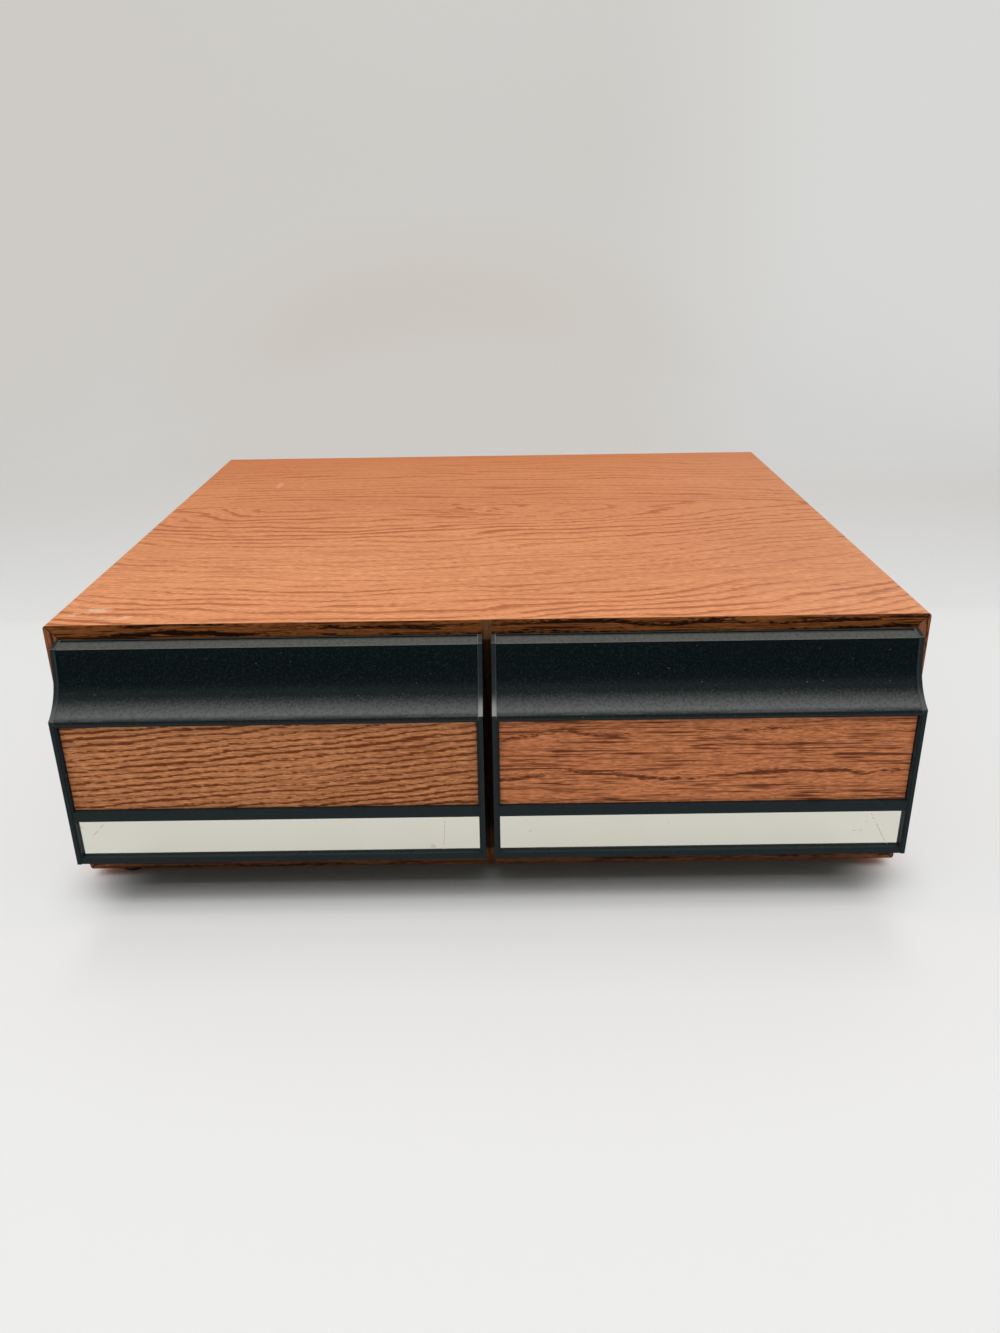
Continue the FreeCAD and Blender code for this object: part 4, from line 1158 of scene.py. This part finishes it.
def make_sweep(stage):
    """A pale floor that curves up into a wall behind the cabinet."""
    front, bend_start, bend, top, half, bend_steps = -7.0, 0.85, 0.45, 2.6, 8.0, 12
    profile = [(front, 0.0), (bend_start, 0.0)]
    for step in range(1, bend_steps + 1):
        turn = math.radians(90.0) * step / bend_steps
        profile.append((bend_start + bend * math.sin(turn), bend * (1.0 - math.cos(turn))))
    profile.append((bend_start + bend, top))
    mesh = bpy.data.meshes.new("sweep")
    points = [(side * half, y, z) for y, z in profile for side in (-1, 1)]
    faces = [(2 * row, 2 * row + 1, 2 * row + 3, 2 * row + 2) for row in range(len(profile) - 1)]
    mesh.from_pydata(points, [], faces)
    mesh.polygons.foreach_set("use_smooth", [True] * len(faces))
    mesh.materials.append(sweep_finish(stage))
    sweep = bpy.data.objects.new("sweep", mesh)
    bpy.context.scene.collection.objects.link(sweep)


def sweep_finish(stage):
    """A pale finish that takes the cabinet's shadow, and shows an even shade away from it."""
    finish = Finish("pale_sweep")
    aside = abs(finish.x) - cad_high.x
    ahead = abs(finish.y) - cad_high.y

    # The floor with its contact shade
    overhang, shadow_reach = 0.025, 0.1
    side_edge, side_core = -0.008, -0.03
    under_edge, under_core = -0.012, -0.022
    cloud = finish.ease(finish.noise(scale=3.0, detail=3.0), 0.3, 0.7, end=0.03)
    color = finish.blend(cloud, stage.floor, stage.cloud)
    beneath = finish.ease(aside, side_edge, side_core)
    open_share = finish.ramp((ahead + overhang) * (1.0 / shadow_reach),
                             ((0.03, 0.95), (0.12, 0.68), (0.17, 0.63), (0.24, 0.79), (0.36, 0.95),
                              (0.52, 0.9), (0.74, 0.95), (1.0, 1.0)))
    color = finish.blend((1.0 - open_share) * beneath, color, stage.contact)
    color = finish.blend(finish.ease(ahead, under_edge, under_core) * beneath, color, stage.under)
    finish.set(Base_Color=color, Roughness=0.55, Specular_IOR_Level=0.3)

    # How much of the even shade shows
    near, far = 0.85, 1.5
    beside, edge, full, share = 3.2, 0.03, 0.3, 0.4
    flank_inner, flank_outer, flank_end = -0.012, 0.022, 0.04
    away = finish.ease(finish.length(finish.x, finish.y), near, far)
    clearance = finish.length(finish.highest(aside, 0.0) * beside, finish.highest(ahead, 0.0))
    along_case = finish.ease(aside, flank_inner, flank_outer, end=0.75) * finish.ease(ahead, flank_end, 0.0)
    clear = finish.highest(away, finish.ease(clearance, edge, full, end=share), along_case)

    # The even shade: the clean floor, the backdrop, a painted brighter side of the wall and a painted warm
    # bounce glow from the wood
    wall_start, wall_end = 0.6, 0.95
    shade_start, shade_end = 0.1, 0.7
    bright_start, bright_end = 0.15, 0.6
    behind = finish.ease(finish.y, wall_start, wall_end)
    shade = finish.highest(away, finish.ease(finish.y, shade_start, shade_end))
    bright = finish.ease(finish.x, bright_start, bright_end) * behind
    bounce_centre, bounce_radii = (-0.09, 0.04), (0.55, 0.33)
    bounce = finish.spot(finish.x, finish.z, bounce_centre, bounce_radii) * behind
    seen = finish.blend(bright, finish.blend(shade, stage.clean, stage.backdrop), stage.bright)
    pale = finish.add("ShaderNodeEmission", Color=finish.blend(bounce, seen, stage.bounce))
    lit = finish.shader.outputs["BSDF"]
    mixed = finish.mix_shader(clear * finish.seen_directly(), lit, pale.outputs[0])
    finish.feed(finish.output.inputs["Surface"], mixed)
    return finish.material


def make_lamp(name, power, size, place, turn):
    """One soft lamp."""
    light = bpy.data.lights.new(name, "AREA")
    light.shape = "RECTANGLE"
    light.size, light.size_y = size
    light.energy = power
    lamp = bpy.data.objects.new(name, light)
    lamp.location = place
    lamp.rotation_euler = (turn, 0.0, 0.0)
    bpy.context.scene.collection.objects.link(lamp)


def make_world(stage):
    """Soft light from all round, dim from the front and bright overhead, behind a pale backdrop."""
    front_level, back_level, top_level = 0.05, 0.28, 0.32
    world = bpy.data.worlds.new("studio")
    world.use_nodes = True
    web = Web(world.node_tree)
    place = web.add("ShaderNodeTexCoord").outputs["Generated"]
    parts = web.add("ShaderNodeSeparateXYZ", Vector=place).outputs
    level = web.add("ShaderNodeMapRange", Value=parts["Y"], From_Min=-1.0, To_Min=front_level,
                    To_Max=back_level)
    above = web.add("ShaderNodeMapRange", Value=parts["Z"])
    mix = web.add("ShaderNodeMix")
    for number, value in ((0, above.outputs[0]), (2, level.outputs[0]), (3, top_level)):
        web.feed(mix.inputs[number], value)
    lit = web.add("ShaderNodeBackground", Strength=mix.outputs[0])
    shown = web.add("ShaderNodeBackground", Color=stage.backdrop)
    either = web.mix_shader(web.seen_directly(), lit.outputs[0], shown.outputs[0])
    web.add("ShaderNodeOutputWorld", Surface=either)
    bpy.context.scene.world = world


def make_camera(stage):
    """The camera at the photograph's place and turn."""
    sensor_length, nearest = 36.0, 0.01
    data = bpy.data.cameras.new("camera")
    data.sensor_width = sensor_length
    data.lens = stage.lens
    data.clip_start = nearest
    camera = bpy.data.objects.new("camera", data)
    camera.location = Vector(stage.camera_place)
    camera.rotation_euler = stage.camera_turn
    bpy.context.scene.collection.objects.link(camera)
    bpy.context.scene.camera = camera


class TAPE_PT_panel(bpy.types.Panel):
    """Lists the cabinet's operators"""
    bl_idname = "TAPE_PT_panel"
    bl_label = "Tape Cabinet"
    bl_space_type = "VIEW_3D"
    bl_region_type = "UI"
    bl_category = "Tape Cabinet"

    def draw(self, context):
        """One button for each operator."""
        for operator in OPERATORS:
            self.layout.operator(operator.bl_idname)


GROUPS = (CaseOak, LeftInlayOak, RightInlayOak, EdgeOak, SideEdgeOak, ShadedDividerEdgeOak, DrawerOak, WearSettings,
          FrontSettings, FittingSettings, StageSettings, CabinetSettings)
OPERATORS = (TAPE_OT_case, TAPE_OT_edges, TAPE_OT_back, TAPE_OT_feet, TAPE_OT_boxes, TAPE_OT_fronts,
             TAPE_OT_inlays, TAPE_OT_stage)


def register():
    """Register the settings, the operators and the panel."""
    for kind in (*GROUPS, *OPERATORS, TAPE_PT_panel):
        bpy.utils.register_class(kind)
    bpy.types.Scene.tape_cabinet = PointerProperty(type=CabinetSettings)


def unregister():
    """Take back what register did."""
    del bpy.types.Scene.tape_cabinet
    for kind in reversed((*GROUPS, *OPERATORS, TAPE_PT_panel)):
        bpy.utils.unregister_class(kind)


def main():
    """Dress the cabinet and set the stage."""
    register()
    bpy.ops.tape_cabinet.case()
    bpy.ops.tape_cabinet.edges()
    bpy.ops.tape_cabinet.back()
    bpy.ops.tape_cabinet.feet()
    bpy.ops.tape_cabinet.boxes()
    bpy.ops.tape_cabinet.fronts()
    bpy.ops.tape_cabinet.inlays()
    bpy.ops.tape_cabinet.stage()


if __name__ == "__main__":
    main()
